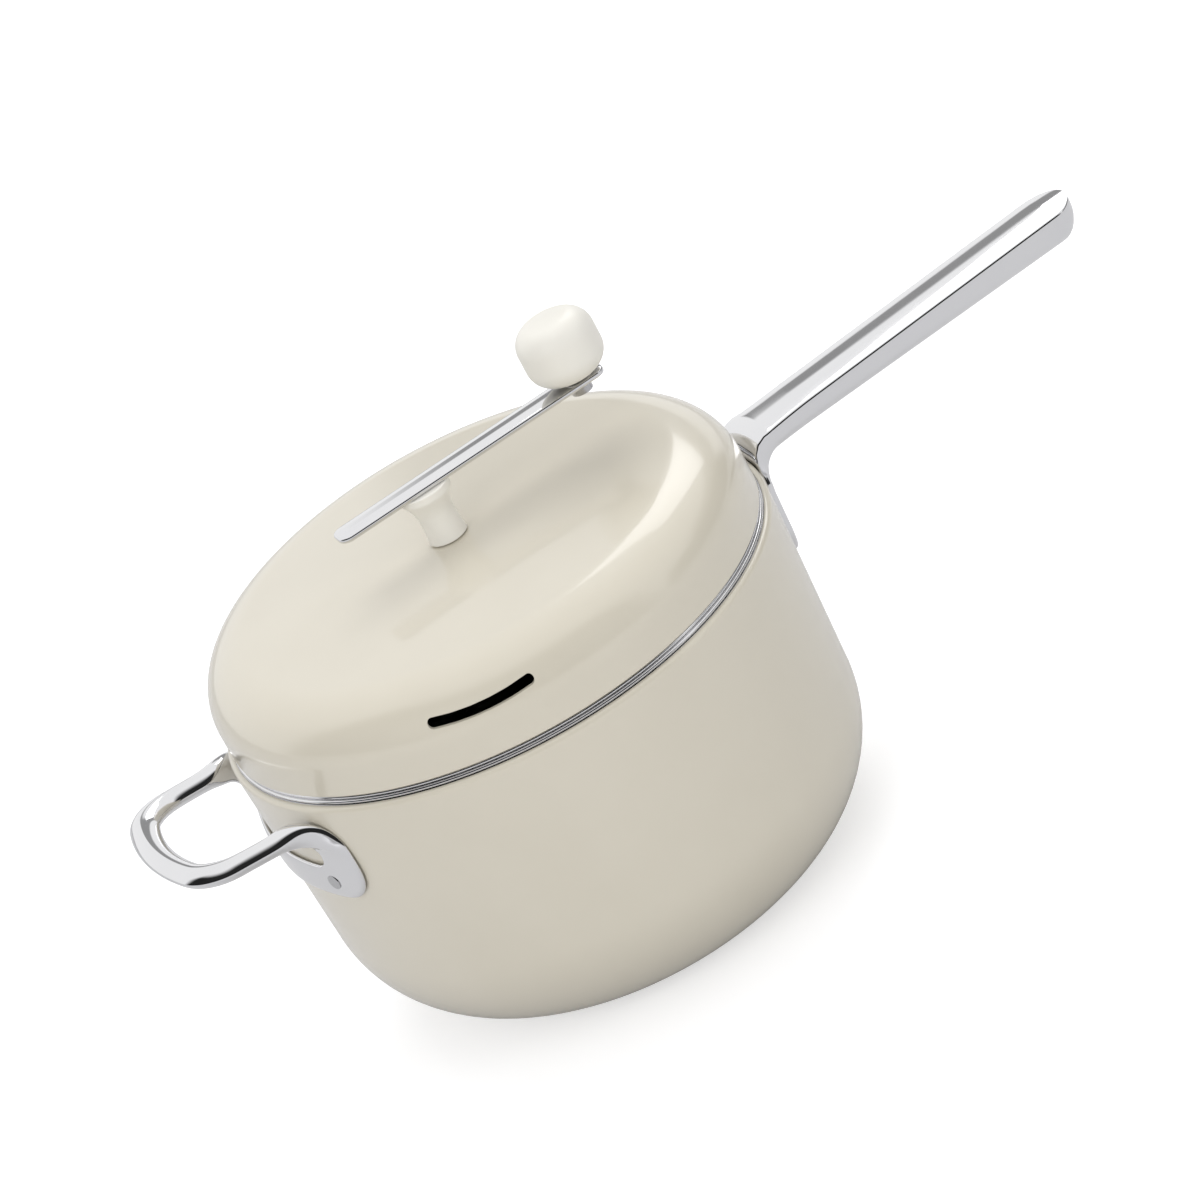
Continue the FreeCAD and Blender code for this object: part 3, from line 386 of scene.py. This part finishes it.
def rim():
    """Steel rim: rolled lip, upright band, two stacked beads and a tongue inside the liner."""
    flange_top = pot_top - neck_height
    flange_low = flange_top - bead * 4
    inset = jacket_wall + bond_gap * 2 + liner_wall
    tongue_low = wall_radius(neck_low) - inset
    tongue_high = wall_radius(flange_low) - inset
    inner = neck_radius - neck_wall
    lower = flange_radius - bead
    upper = lower - bead
    return turned("pot_rim", [
        (tongue_low - tongue_wall, neck_low),
        (tongue_low, neck_low),
        (tongue_high, flange_low),
        (lower, flange_low),
        (flange_radius, flange_low + bead, bead, -1),
        (lower, flange_low + bead * 2, bead, -1),
        (upper, flange_low + bead * 2),
        (lower, flange_low + bead * 3, bead, -1),
        (upper, flange_top, bead, -1),
        (neck_radius + neck_round, flange_top),
        (neck_radius, flange_top + neck_round, neck_round, 1),
        (neck_radius, pot_top - lip_roll * 2),
        (neck_radius + lip_roll, pot_top - lip_roll, lip_roll, -1),
        (neck_radius, pot_top, lip_roll, -1),
        (inner + lip_roll, pot_top),
        (inner, pot_top - lip_roll, lip_roll, -1),
        (inner, flange_low + bead * 2),
        (tongue_high - tongue_wall, flange_low - tongue_wall)], count=288, turn=radians(15))


wave_count = 36
wave_depth = 10.0 * mm
wave_sheet = 0.8 * mm


def wave_ring():
    """Corrugated strip of spring steel, standing on edge just inside the lip."""
    points_per_wave = 28
    total = wave_count * points_per_wave
    crest = wave_outer - wave_sheet / 2

    def ring(height):
        spots = []
        for k in range(total):
            bearing = 2 * math.pi * k / total
            dip = (1 - math.cos(bearing * wave_count)) / 2
            radius = crest - wave_depth * dip
            spots.append(Vector((radius * math.cos(bearing), radius * math.sin(bearing), height)))
        return spots

    strip = skin("wave_ring", [ring(wave_low), ring((wave_low + wave_high) / 2), ring(wave_high)])
    bpy.context.view_layer.objects.active = strip
    bpy.ops.object.mode_set(mode="EDIT")
    bpy.ops.mesh.select_all(action="DESELECT")
    mesh = bmesh.from_edit_mesh(strip.data)
    for face in mesh.faces:
        face.select = len(face.verts) > 4
    bpy.ops.mesh.delete(type="ONLY_FACE")
    bpy.ops.object.mode_set(mode="OBJECT")
    sheet = strip.modifiers.new("sheet", "SOLIDIFY")
    sheet.thickness = wave_sheet
    sheet.offset = 0
    bpy.ops.object.modifier_apply(modifier=sheet.name)
    return smoothed(strip)


finished(jacket(), "pot", "cream_enamel", cream_enamel.material, "coated_body")
finished(liner(), "pot", "polished_steel", mirror_steel.material, "steel_liner")
finished(rim(), "pot", "polished_steel", mirror_steel.material, "rim_band")
finished(wave_ring(), "pot", "spring_steel", spring_steel.material, "sifter_ring")


# ---------------------------------------------------------------- cast handles
def on_wall(across, height, depth):
    """A point over the left side of the wall: sideways, up, and out from the enamel."""
    radius = wall_radius(height) + depth
    return Vector((-math.sqrt(radius ** 2 - across ** 2), across, height))


def rounded_section(corners, edge, crown=0.0):
    """Twelve points round a four-cornered section, with eased corners and sides that bulge."""
    ring = []
    middle = sum(corners, Vector()) / 4
    for index, corner in enumerate(corners):
        following = corners[(index + 1) % 4]
        side = following - corner
        hold = side.normalized() * min(edge, side.length * 0.42)
        centre = (corner + following) / 2
        sink = (middle - centre).normalized() * crown
        ring += [corner + hold + sink, centre, following - hold + sink]
    return ring


loop_half_width = 47.6 * mm
loop_inner_width = 36.3 * mm
loop_grip_width = 12.6 * mm
loop_thickness = 9.6 * mm
loop_outer_round = 21.4 * mm
loop_inner_round = 17 * mm
loop_edge = 3.2 * mm
loop_crown = 1.05 * mm
loop_bow_turn = radians(14.5)
loop_corner = Vector((-142.5 * mm, 22.75 * mm))
loop_rise = math.tan(radians(5))
loop_root = Vector((-106 * mm, 0, 128.1 * mm))
loop_bend = 9 * mm
arm_straight = 8 * mm
bend_edge = 2.4 * mm
bend_end_edge = 1.3 * mm
plate_edge = 1.4 * mm
plate_wall = 3.0 * mm
plate_high = 134.8 * mm
leg_inner = 41.5 * mm
bridge_hold = 18 * mm
window_low = 108 * mm
window_round = 7 * mm
bracket_round = 15 * mm


def helper_loop():
    """Cast ring in one sweep: grip, corners, arms, bends, bracket legs and the bridge between them."""
    half = loop_thickness / 2

    def arm_level(x):
        return loop_root.z + (loop_root.x - x) * loop_rise

    def level_section(inner, outer):
        """Section of the level part from its inner and outer plan points."""
        tops = [Vector((p.x, p.y, arm_level(p.x) + half)) for p in (inner, outer)]
        lows = [Vector((p.x, p.y, arm_level(p.x) - half)) for p in (inner, outer)]
        return rounded_section([tops[0], tops[1], lows[1], lows[0]], loop_edge, loop_crown)

    def plan_edge(reach, half_width, corner):
        """Points along one edge of the grip: a shallow bow, then its corner arc cut by rays."""
        bow = corner + (half_width - corner) / math.sin(loop_bow_turn)
        hub = Vector((bow - reach - (bow - corner) * math.cos(loop_bow_turn), half_width - corner))
        offset = hub - loop_corner
        points = []
        for turn in (loop_bow_turn, *map(radians, (27, 40, 53, 66, 78, 90))):
            way = Vector((-math.cos(turn), math.sin(turn)))
            along = way.dot(offset)
            span = along + math.sqrt(along ** 2 - offset.length_squared + corner ** 2)
            points.append(loop_corner + way * span)
        across = [points[0].y * share for share in (0, 0.35, 0.7)]
        return [Vector((bow - reach - math.sqrt(bow ** 2 - y ** 2), y)) for y in across] + points

    pivot_out = plate_wall + loop_bend
    pivot_x = on_wall(loop_inner_width, plate_high, 0).x - pivot_out
    pivot_z = arm_level(pivot_x) - half - loop_bend
    inner_edge = plan_edge(loop_reach - loop_grip_width, loop_inner_width, loop_inner_round)
    outer_edge = plan_edge(loop_reach, loop_half_width, loop_outer_round)
    sections = [level_section(inner, outer) for inner, outer in zip(inner_edge, outer_edge)]
    for x in (pivot_x - arm_straight, pivot_x):
        sections.append(level_section(Vector((x, loop_inner_width)), Vector((x, loop_half_width))))
    reach_up = plate_high - pivot_z
    bends = ((20, 0.12, 0.04), (40, 0.62, 0.3), (64, 1.0, 0.72), (90, 1.0, 0.97))
    for turn, back_share, front_share in bends:
        sine, cosine = math.sin(radians(turn)), math.cos(radians(turn))
        depth_front = pivot_out - loop_bend * sine
        front_level = pivot_z + loop_bend * cosine
        along = min(pivot_out / sine, reach_up / max(cosine, 1e-6))
        depth_back = max(pivot_out - along * sine, bond_gap)
        back_level = pivot_z + along * cosine
        inner = loop_inner_width + (leg_inner - loop_inner_width) * back_share
        flare = bracket_half_width - loop_half_width
        back, front = loop_half_width + flare * back_share, loop_half_width + flare * front_share
        sections.append(rounded_section([
            on_wall(inner, back_level, depth_back), on_wall(back, back_level, depth_back),
            on_wall(front, front_level, depth_front), on_wall(inner, front_level, depth_front)],
            bend_edge if turn < 60 else bend_end_edge))
    window_hub = (leg_inner - window_round, window_low + window_round)
    corner_hub = (bracket_half_width - bracket_round, plate_low + bracket_round)
    for turn in (0, 30, 60, 90):
        sine, cosine = math.sin(radians(turn)), math.cos(radians(turn))
        inner = (window_hub[0] + window_round * cosine, window_hub[1] - window_round * sine)
        outer = (corner_hub[0] + bracket_round * cosine, corner_hub[1] - bracket_round * sine)
        sections.append(rounded_section([
            on_wall(*inner, bond_gap), on_wall(*outer, bond_gap),
            on_wall(*outer, plate_wall), on_wall(*inner, plate_wall)], plate_edge))
    for across in (bridge_hold, 0):
        sections.append(rounded_section([
            on_wall(across, window_low, bond_gap), on_wall(across, plate_low, bond_gap),
            on_wall(across, plate_low, plate_wall), on_wall(across, window_low, plate_wall)], plate_edge))
    other_side = [[Vector((p.x, -p.y, p.z)) for p in ring] for ring in sections[-2:0:-1]]
    piece = skin("side_loop", sections + other_side, closed=True)
    return smoothed(subdivided(piece, 3), radians(60))


grip_width = 28 * mm
grip_root_width = 32 * mm
grip_flare_start = 152 * mm
grip_root_high = 146.9 * mm
grip_root_low = 136.3 * mm
grip_tip_high = 154.8 * mm
grip_low_slope = math.tan(radians(1.5))
grip_plan_round = 13 * mm
grip_nose_round = 12.5 * mm
grip_crown = 1.3 * mm
grip_ridge = 0.5 * mm
ridge_rise = 20 * mm
ridge_fall = 12 * mm
grip_low_round = 4.6 * mm
grip_edge = 1.0 * mm
grip_bend_inner = 9 * mm
grip_bend_outer = 9.6 * mm
shield_half_width = 19.6 * mm
shield_low_round = 14 * mm
shield_wall = 3 * mm
shield_edge = 1.2 * mm
shield_foot = 3 * mm


def bar_section(half, high, low, crown, low_round, place):
    """Forty-three points round the bar: crowned top, crisp top edges, eased lower edges."""
    edge = min(grip_edge, (high - low) * 0.3)
    rise = crown + edge
    spots = []
    for k in range(17):
        across = -1 + 2 * k / 16
        spots.append(((half - edge) * across, high - crown * across ** 2))
    for k in range(1, 4):
        turn = radians(90 * k / 3)
        spots.append((half - edge + edge * math.sin(turn), high - rise + edge * math.cos(turn)))
    deep = max((high - rise - low) * 0.5, 0)
    round_ = min(low_round, deep, half * 0.45)
    for k in range(1, 3):
        spots.append((half, high - rise - (high - rise - low - round_) * k / 3))
    for k in range(7):
        turn = radians(90 * k / 6)
        spots.append((half - round_ + round_ * math.cos(turn), low + round_ - round_ * math.sin(turn)))
    right = spots[17:]
    for k in range(1, 3):
        spots.append(((half - round_) * (1 - 2 * k / 3), low))
    spots += [(-across, level) for across, level in reversed(right)]
    return [place(across, level) for across, level in spots]


def long_grip():
    """Cast bar in one sweep: rounded tip, crowned top, flared root, bend and riveted shield."""
    root_x = wall_radius(grip_root_low) + bond_gap
    face_x = root_x + shield_wall
    bend_x = face_x + grip_bend_inner
    tip_start = grip_reach - grip_nose_round
    top_start = root_x + grip_bend_outer

    def high_at(x):
        share = (x - top_start) / (grip_reach - top_start)
        ridge = grip_ridge * min((x - bend_x) / ridge_rise, (grip_reach - x) / ridge_fall, 1)
        return grip_root_high + (grip_tip_high - grip_root_high) * share + ridge

    def low_at(x):
        base = grip_root_low + (min(x, tip_start) - bend_x) * grip_low_slope
        past = max(x - tip_start, 0)
        return base + grip_nose_round - math.sqrt(max(grip_nose_round ** 2 - past ** 2, 0))

    def half_at(x):
        past = max(x - (grip_reach - grip_plan_round), 0)
        rounding = grip_plan_round - math.sqrt(max(grip_plan_round ** 2 - past ** 2, 0))
        flare = max(grip_flare_start - x, 0) / (grip_flare_start - face_x)
        return grip_width / 2 - rounding + (grip_root_width - grip_width) / 2 * flare ** 2

    rings = []
    stations = [grip_reach - grip_nose_round * (1 - math.sin(radians(turn)))
                for turn in (90, 84, 78, 72, 66, 60, 52, 44, 36, 27, 18, 9, 0)]
    stations += [tip_start + (grip_flare_start - tip_start) * k / 24 for k in range(1, 25)]
    stations += [grip_flare_start + (bend_x - grip_flare_start) * k / 10 for k in range(1, 11)]
    for x in stations:
        half = half_at(x)
        crown = grip_crown * min(half / (grip_width / 2), 1) ** 2
        rings.append(bar_section(half, high_at(x), low_at(x), crown, grip_low_round,
                                 lambda across, level, x=x: Vector((x, across, level))))
    pivot = Vector((bend_x, 0, grip_root_low - grip_bend_inner))
    for turn in (12, 24, 36, 48, 60, 72, 84, 90):
        sine, cosine = math.sin(radians(turn)), math.cos(radians(turn))
        top = grip_root_high - pivot.z
        back = bend_x - root_x
        along = min(top / max(cosine, 1e-6), back / sine)
        corner = Vector((back - grip_bend_outer, top - grip_bend_outer))
        way = Vector((sine, cosine))
        if way.x * along > corner.x and way.y * along > corner.y:
            reach = corner.dot(way)
            along = reach + math.sqrt(max(reach ** 2 - corner.length_squared + grip_bend_outer ** 2, 0))
        half = half_at(bend_x) + (shield_half_width - half_at(bend_x)) * turn / 90
        crown = grip_crown * (1 - turn / 90)

        def place(across, level, way=way, half=half):
            flat = pivot + Vector((-way.x, 0, way.y)) * level
            bulge = (across / root_x) ** 2 * root_x / 2 * way.x
            return Vector((flat.x - bulge, across, flat.z))

        low_round = grip_low_round + (shield_edge - grip_low_round) * turn / 90
        rings.append(bar_section(half, along, grip_bend_inner, crown, low_round, place))
    shield_top = pivot.z
    levels = [shield_top + (plate_low + shield_low_round - shield_top) * k / 5 for k in range(1, 6)]
    levels += [plate_low + shield_low_round * (1 - math.sin(radians(turn)))
               for turn in (10, 20, 30, 40, 50, 58, 66, 73, 80, 86, 90)]
    for height in levels:
        past = max(plate_low + shield_low_round - height, 0)
        half = shield_half_width - shield_low_round + math.sqrt(max(shield_low_round ** 2 - past ** 2, 0))
        wall = wall_radius(height) + bond_gap
        thin = shield_wall * (0.55 + 0.45 * min((height - plate_low) / shield_foot, 1))

        def place(across, level, wall=wall, height=height):
            radius = wall + thin - level
            return Vector((math.sqrt(radius ** 2 - across ** 2), across, height))

        rings.append(bar_section(half, thin, 0, 0, shield_edge, place))
    return smoothed(skin("long_grip", rings), radians(40))


finished(helper_loop(), "pot", "polished_cast", mirror_cast.material, "helper_handle")
finished(long_grip(), "pot", "polished_cast", mirror_cast.material, "long_handle")

# ---------------------------------------------------------------- lid
lid_wall = 1.6 * mm
skirt_height = 12 * mm
shoulder_arc = 21.5 * mm
shoulder_turn = radians(53)
haunch_arc = 29 * mm
haunch_turn = radians(34)
bush_bore = 5.25 * mm
vent_rise = 21.4 * mm
vent_width = 4.3 * mm
vent_turn = radians(19.6)
vent_dip = 1.2 * mm
vent_bearing = radians(248.4)


def dome(inset):
    """Ends of the lid's three tangent arcs and their radii, inset inwards."""
    total = shoulder_turn + haunch_turn
    skirt_top = lid_bottom + skirt_height
    first, second = shoulder_arc - inset, haunch_arc - inset
    start = (lid_radius - inset, skirt_top)
    middle = (start[0] - first * (1 - math.cos(shoulder_turn)),
              skirt_top + first * math.sin(shoulder_turn))
    end = (middle[0] - second * (math.cos(shoulder_turn) - math.cos(total)),
           middle[1] + second * (math.sin(total) - math.sin(shoulder_turn)))
    crown = end[0] / math.cos(total)
    centre = end[1] - crown * math.sin(total)
    edge = (bush_bore, centre + math.sqrt(crown ** 2 - bush_bore ** 2))
    return start, middle, end, edge, first, second, crown


def lid_dome():
    """Deep pressed lid with two long steam slots in its shoulder."""
    start, middle, end, edge, first, second, crown = dome(0)
    in_start, in_middle, in_end, in_edge, in_first, in_second, in_crown = dome(lid_wall)
    hem = 0.5 * mm
    lid = turned("lid_dome", [
        (lid_radius - lid_wall + hem, lid_bottom),
        (lid_radius - hem, lid_bottom),
        (lid_radius, lid_bottom + hem, hem, -1),
        start,
        (*middle, first, -1),
        (*end, second, -1),
        (*edge, crown, -1),
        in_edge,
        (*in_end, in_crown, 1),
        (*in_middle, in_second, 1),
        (*in_start, in_first, 1),
        (lid_radius - lid_wall, lid_bottom + hem)], count=360, turn=radians(3))
    slots = steam_slots()
    cutting = lid.modifiers.new("cutting", "BOOLEAN")
    cutting.operation = "DIFFERENCE"
    cutting.solver = "EXACT"
    cutting.object = slots
    bpy.context.view_layer.objects.active = lid
    bpy.ops.object.modifier_apply(modifier=cutting.name)
    bpy.data.objects.remove(slots)
    return smoothed(lid)


def steam_slots():
    """Bar right across the lid that cuts both slots: round ends, and lower in the middle."""
    half = vent_width / 2
    reach = lid_radius * math.sin(vent_turn / 2)
    dip = reach ** 2 / 2 / vent_dip
    ring = outline([
        (reach, -half),
        (reach + half, 0, half, -1),
        (reach, half, half, -1),
        (-reach, half, dip - half, 1),
        (-reach - half, 0, half, -1),
        (-reach, -half, half, -1),
        (reach, -half, dip + half, -1)], turn=radians(3))[:-1]
    turned_to = Matrix.Rotation(vent_bearing, 3, "Z")
    level = lid_bottom + vent_rise
    return skin("slot_tool", [[turned_to @ Vector((end, spot.x, level + spot.y)) for spot in ring]
                              for end in (-lid_radius * 1.2, lid_radius * 1.2)])


finished(lid_dome(), "lid", "cream_enamel", cream_enamel.material, "lid_shell")

# ---------------------------------------------------------------- crank
hub_foot = 8.3 * mm
hub_waist = 7.7 * mm
hub_head = 11 * mm
hub_cup = 6.7 * mm
shaft_bore = 3.05 * mm
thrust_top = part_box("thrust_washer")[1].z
bolt_bore = 2.56 * mm


def hub_post():
    """Moulded post, waisted in the middle and flared up to the arm."""
    ease = 0.5 * mm
    straight = 3 * mm
    waist = (hub_bottom + hub_top) / 2
    return turned("hub_post", [
        (hub_cup, hub_bottom),
        (hub_foot - ease, hub_bottom),
        (hub_foot, hub_bottom + ease, ease, -1),
        (hub_waist, waist, 60 * mm, 1),
        (hub_head, hub_top - straight, 22 * mm, 1),
        (hub_head, hub_top - ease),
        (hub_head - ease, hub_top, ease, -1),
        (shaft_bore, hub_top),
        (shaft_bore, thrust_top),
        (hub_cup, thrust_top)], count=96)


def crank_bar():
    """Polished flat bar with rounded ends and a slightly crowned top."""
    end_round = 5 * mm
    edge = 0.7 * mm
    crown = 0.7 * mm

    def plan(inset, height):
        radius = max(end_round - inset, 0.05 * mm)
        spots = []
        for corner, (side_x, side_y) in enumerate(((1, 1), (-1, 1), (-1, -1), (1, -1))):
            x = (arm_right - inset - radius) if side_x > 0 else (arm_left + inset + radius)
            y = side_y * (arm_half_width - inset - radius)
            for k in range(9):
                turn = radians(90 * corner + 90 * k / 8)
                spots.append(Vector((x + radius * math.cos(turn), y + radius * math.sin(turn), height)))
        return spots

    core = arm_half_width * 0.98
    rings = [plan(core, arm_bottom)]
    for k in range(4):
        turn = radians(30 * k)
        rings.append(plan(edge * (1 - math.sin(turn)), arm_bottom + edge * (1 - math.cos(turn))))
    shoulder = arm_top - crown
    for k in range(4):
        turn = radians(30 * k)
        rings.append(plan(edge * (1 - math.cos(turn)), shoulder - edge * (1 - math.sin(turn))))
    for k in range(1, 9):
        share = k / 8
        inset = edge + (core - edge) * share
        rings.append(plan(inset, shoulder + crown * (1 - (1 - share) ** 2)))
    return smoothed(skin("crank_bar", rings), radians(40))


def collar():
    """Thin moulded collar between arm and knob."""
    ease = 0.3 * mm
    return turned("knob_neck", [
        (bolt_bore, collar_bottom),
        (collar_radius - ease, collar_bottom),
        (collar_radius, collar_bottom + ease, ease, -1),
        (collar_radius, collar_top - ease),
        (collar_radius - ease, collar_top, ease, -1),
        (bolt_bore, collar_top)], count=96, x=crank_radius)


finished(hub_post(), "crank", "cream_plastic", cream_plastic.material, "crank_hub")
finished(crank_bar(), "crank", "polished_steel", mirror_steel.material, "crank_arm")
finished(collar(), "crank", "cream_plastic", cream_plastic.material, "knob_collar")


def turning_knob():
    """Rounded moulded knob with a softly crowned top."""
    low_round = 9.6 * mm
    top_round = 9.2 * mm
    crown = 0.4 * mm
    pocket = 4.55 * mm
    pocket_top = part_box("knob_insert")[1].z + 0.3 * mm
    flat = knob_radius - top_round
    return turned("turning_knob", [
        (0, pocket_top),
        (pocket, pocket_top),
        (pocket, knob_bottom),
        (knob_radius - low_round, knob_bottom),
        (knob_radius, knob_bottom + low_round, low_round, -1),
        (knob_radius, knob_top - crown - top_round),
        (flat, knob_top - crown, top_round, -1),
        (0, knob_top, (flat ** 2 + crown ** 2) / 2 / crown, -1)], count=96, x=crank_radius, closed=False)


finished(turning_knob(), "knob", "cream_plastic", cream_plastic.material, "knob")


# ---------------------------------------------------------------- floor, light and camera
def floor():
    """Wide pale floor that keeps a soft shadow under the pot."""
    bpy.ops.mesh.primitive_grid_add(x_subdivisions=8, y_subdivisions=8, size=24)
    ground = bpy.context.object
    ground.name = "floor"
    material = bpy.data.materials.new("pale_floor")
    material.use_nodes = True
    tree = material.node_tree
    shader = tree.nodes["Principled BSDF"]
    shader.inputs["Base Color"].default_value = (0.64, 0.64, 0.65, 1)
    shader.inputs["Roughness"].default_value = 0.9
    shader.inputs["Specular IOR Level"].default_value = 0.1
    shader.inputs["Emission Color"].default_value = (1, 1, 1, 1)
    path = tree.nodes.new("ShaderNodeLightPath")
    seen = tree.nodes.new("ShaderNodeMath")
    seen.operation = "MAXIMUM"
    glow = tree.nodes.new("ShaderNodeMath")
    glow.operation = "MULTIPLY"
    glow.inputs[1].default_value = 0.53
    link = tree.links.new
    link(path.outputs["Is Camera Ray"], seen.inputs[0])
    link(path.outputs["Is Transmission Ray"], seen.inputs[1])
    link(seen.outputs[0], glow.inputs[0])
    link(glow.outputs[0], shader.inputs["Emission Strength"])
    ground.data.materials.append(material)
    return ground


def surroundings():
    """White room with a dim front and a grey far horizon, which polished metal shows as dark lines."""
    world = bpy.data.worlds.new("studio")
    bpy.context.scene.world = world
    world.use_nodes = True
    tree = world.node_tree
    link = tree.links.new
    sky = tree.nodes["Background"]
    path = tree.nodes.new("ShaderNodeLightPath")
    ways = tree.nodes.new("ShaderNodeTexCoord")
    parts = tree.nodes.new("ShaderNodeSeparateXYZ")
    link(ways.outputs["Generated"], parts.inputs[0])
    front = tree.nodes.new("ShaderNodeVectorMath")
    front.operation = "DOT_PRODUCT"
    front.inputs[1].default_value = (-0.55, -0.835, 0)
    link(ways.outputs["Generated"], front.inputs[0])

    def ramp(source, low, high):
        node = tree.nodes.new("ShaderNodeMapRange")
        node.interpolation_type = "SMOOTHSTEP"
        node.inputs["From Min"].default_value = low
        node.inputs["From Max"].default_value = high
        link(source, node.inputs["Value"])
        return node.outputs["Result"]

    def times(first, second):
        node = tree.nodes.new("ShaderNodeMath")
        node.operation = "MULTIPLY"
        link(first, node.inputs[0])
        link(second, node.inputs[1])
        return node.outputs[0]

    def dimmed(zone, level):
        """Full light outside a zone and a lower level inside it."""
        node = tree.nodes.new("ShaderNodeMapRange")
        node.inputs["To Min"].default_value = 1.0
        node.inputs["To Max"].default_value = level
        link(zone, node.inputs["Value"])
        return node.outputs["Result"]

    sideways, height = parts.outputs["X"], parts.outputs["Z"]
    ahead = front.outputs["Value"]
    above = ramp(height, -0.01, 0.03)
    before = times(times(above, ramp(height, 0.97, 0.8)), ramp(ahead, 0.05, 0.3))
    behind = times(times(ramp(height, 0.22, 0.26), ramp(height, 0.49, 0.43)), ramp(ahead, -0.3, -0.45))
    behind = times(behind, ramp(sideways, 0.165, 0.195))
    beside = times(times(above, ramp(height, 0.4, 0.3)), ramp(sideways, 0.76, 0.84))
    seen_in_metal = times(times(dimmed(before, 0.02), dimmed(behind, 0.33)), dimmed(beside, 0.05))
    mix = tree.nodes.new("ShaderNodeMix")
    mix.data_type = "FLOAT"
    mix.inputs["A"].default_value = 0.66
    link(path.outputs["Is Glossy Ray"], mix.inputs["Factor"])
    link(seen_in_metal, mix.inputs["B"])
    show = tree.nodes.new("ShaderNodeMath")
    show.operation = "MAXIMUM"
    link(mix.outputs["Result"], show.inputs[0])
    link(path.outputs["Is Camera Ray"], show.inputs[1])
    link(show.outputs[0], sky.inputs["Strength"])
    sky.inputs["Color"].default_value = (1, 1, 1, 1)


def softbox(name, place, aim, size, power, mirrored=False):
    """Large soft lamp. Glossy surfaces show it only when mirrored is set."""
    bpy.ops.object.light_add(type="AREA", location=place)
    lamp = bpy.context.object
    lamp.name = name
    lamp.data.shape = "SQUARE"
    lamp.data.size = size
    lamp.data.energy = power
    lamp.rotation_euler = (Vector(aim) - Vector(place)).to_track_quat("-Z", "Y").to_euler()
    lamp.visible_glossy = mirrored
    return lamp


def camera():
    """Long lens, a quarter of a turn and more from the handle, rolled so that the pot leans back."""
    place = Vector((-0.3611, -1.7706, 0.9894))
    aim = Vector((0.0386, -0.0122, 0.1243))
    roll = radians(-28.53)
    bpy.ops.object.camera_add(location=place)
    eye = bpy.context.object
    eye.name = "view"
    turn = (aim - place).to_track_quat("-Z", "Y").to_matrix() @ Matrix.Rotation(roll, 3, "Z")
    eye.rotation_euler = turn.to_euler()
    eye.data.lens = 150
    eye.data.sensor_width = 36
    bpy.context.scene.camera = eye


floor()
surroundings()
softbox("key_lamp", (-1.8, -1.5, 1.2), (0, 0, 0.08), 1.6, 22)
softbox("fill_lamp", (1.4, -1.6, 0.75), (0, 0, 0.1), 1.0, 9)
softbox("top_lamp", (0.3, 0.9, 1.9), (0, 0, 0.15), 1.6, 14)
softbox("back_lamp", (1.2, 1.4, 1.6), (0, 0, 0.08), 1.1, 7, mirrored=True)
camera()
bpy.context.scene.view_settings.view_transform = "Standard"
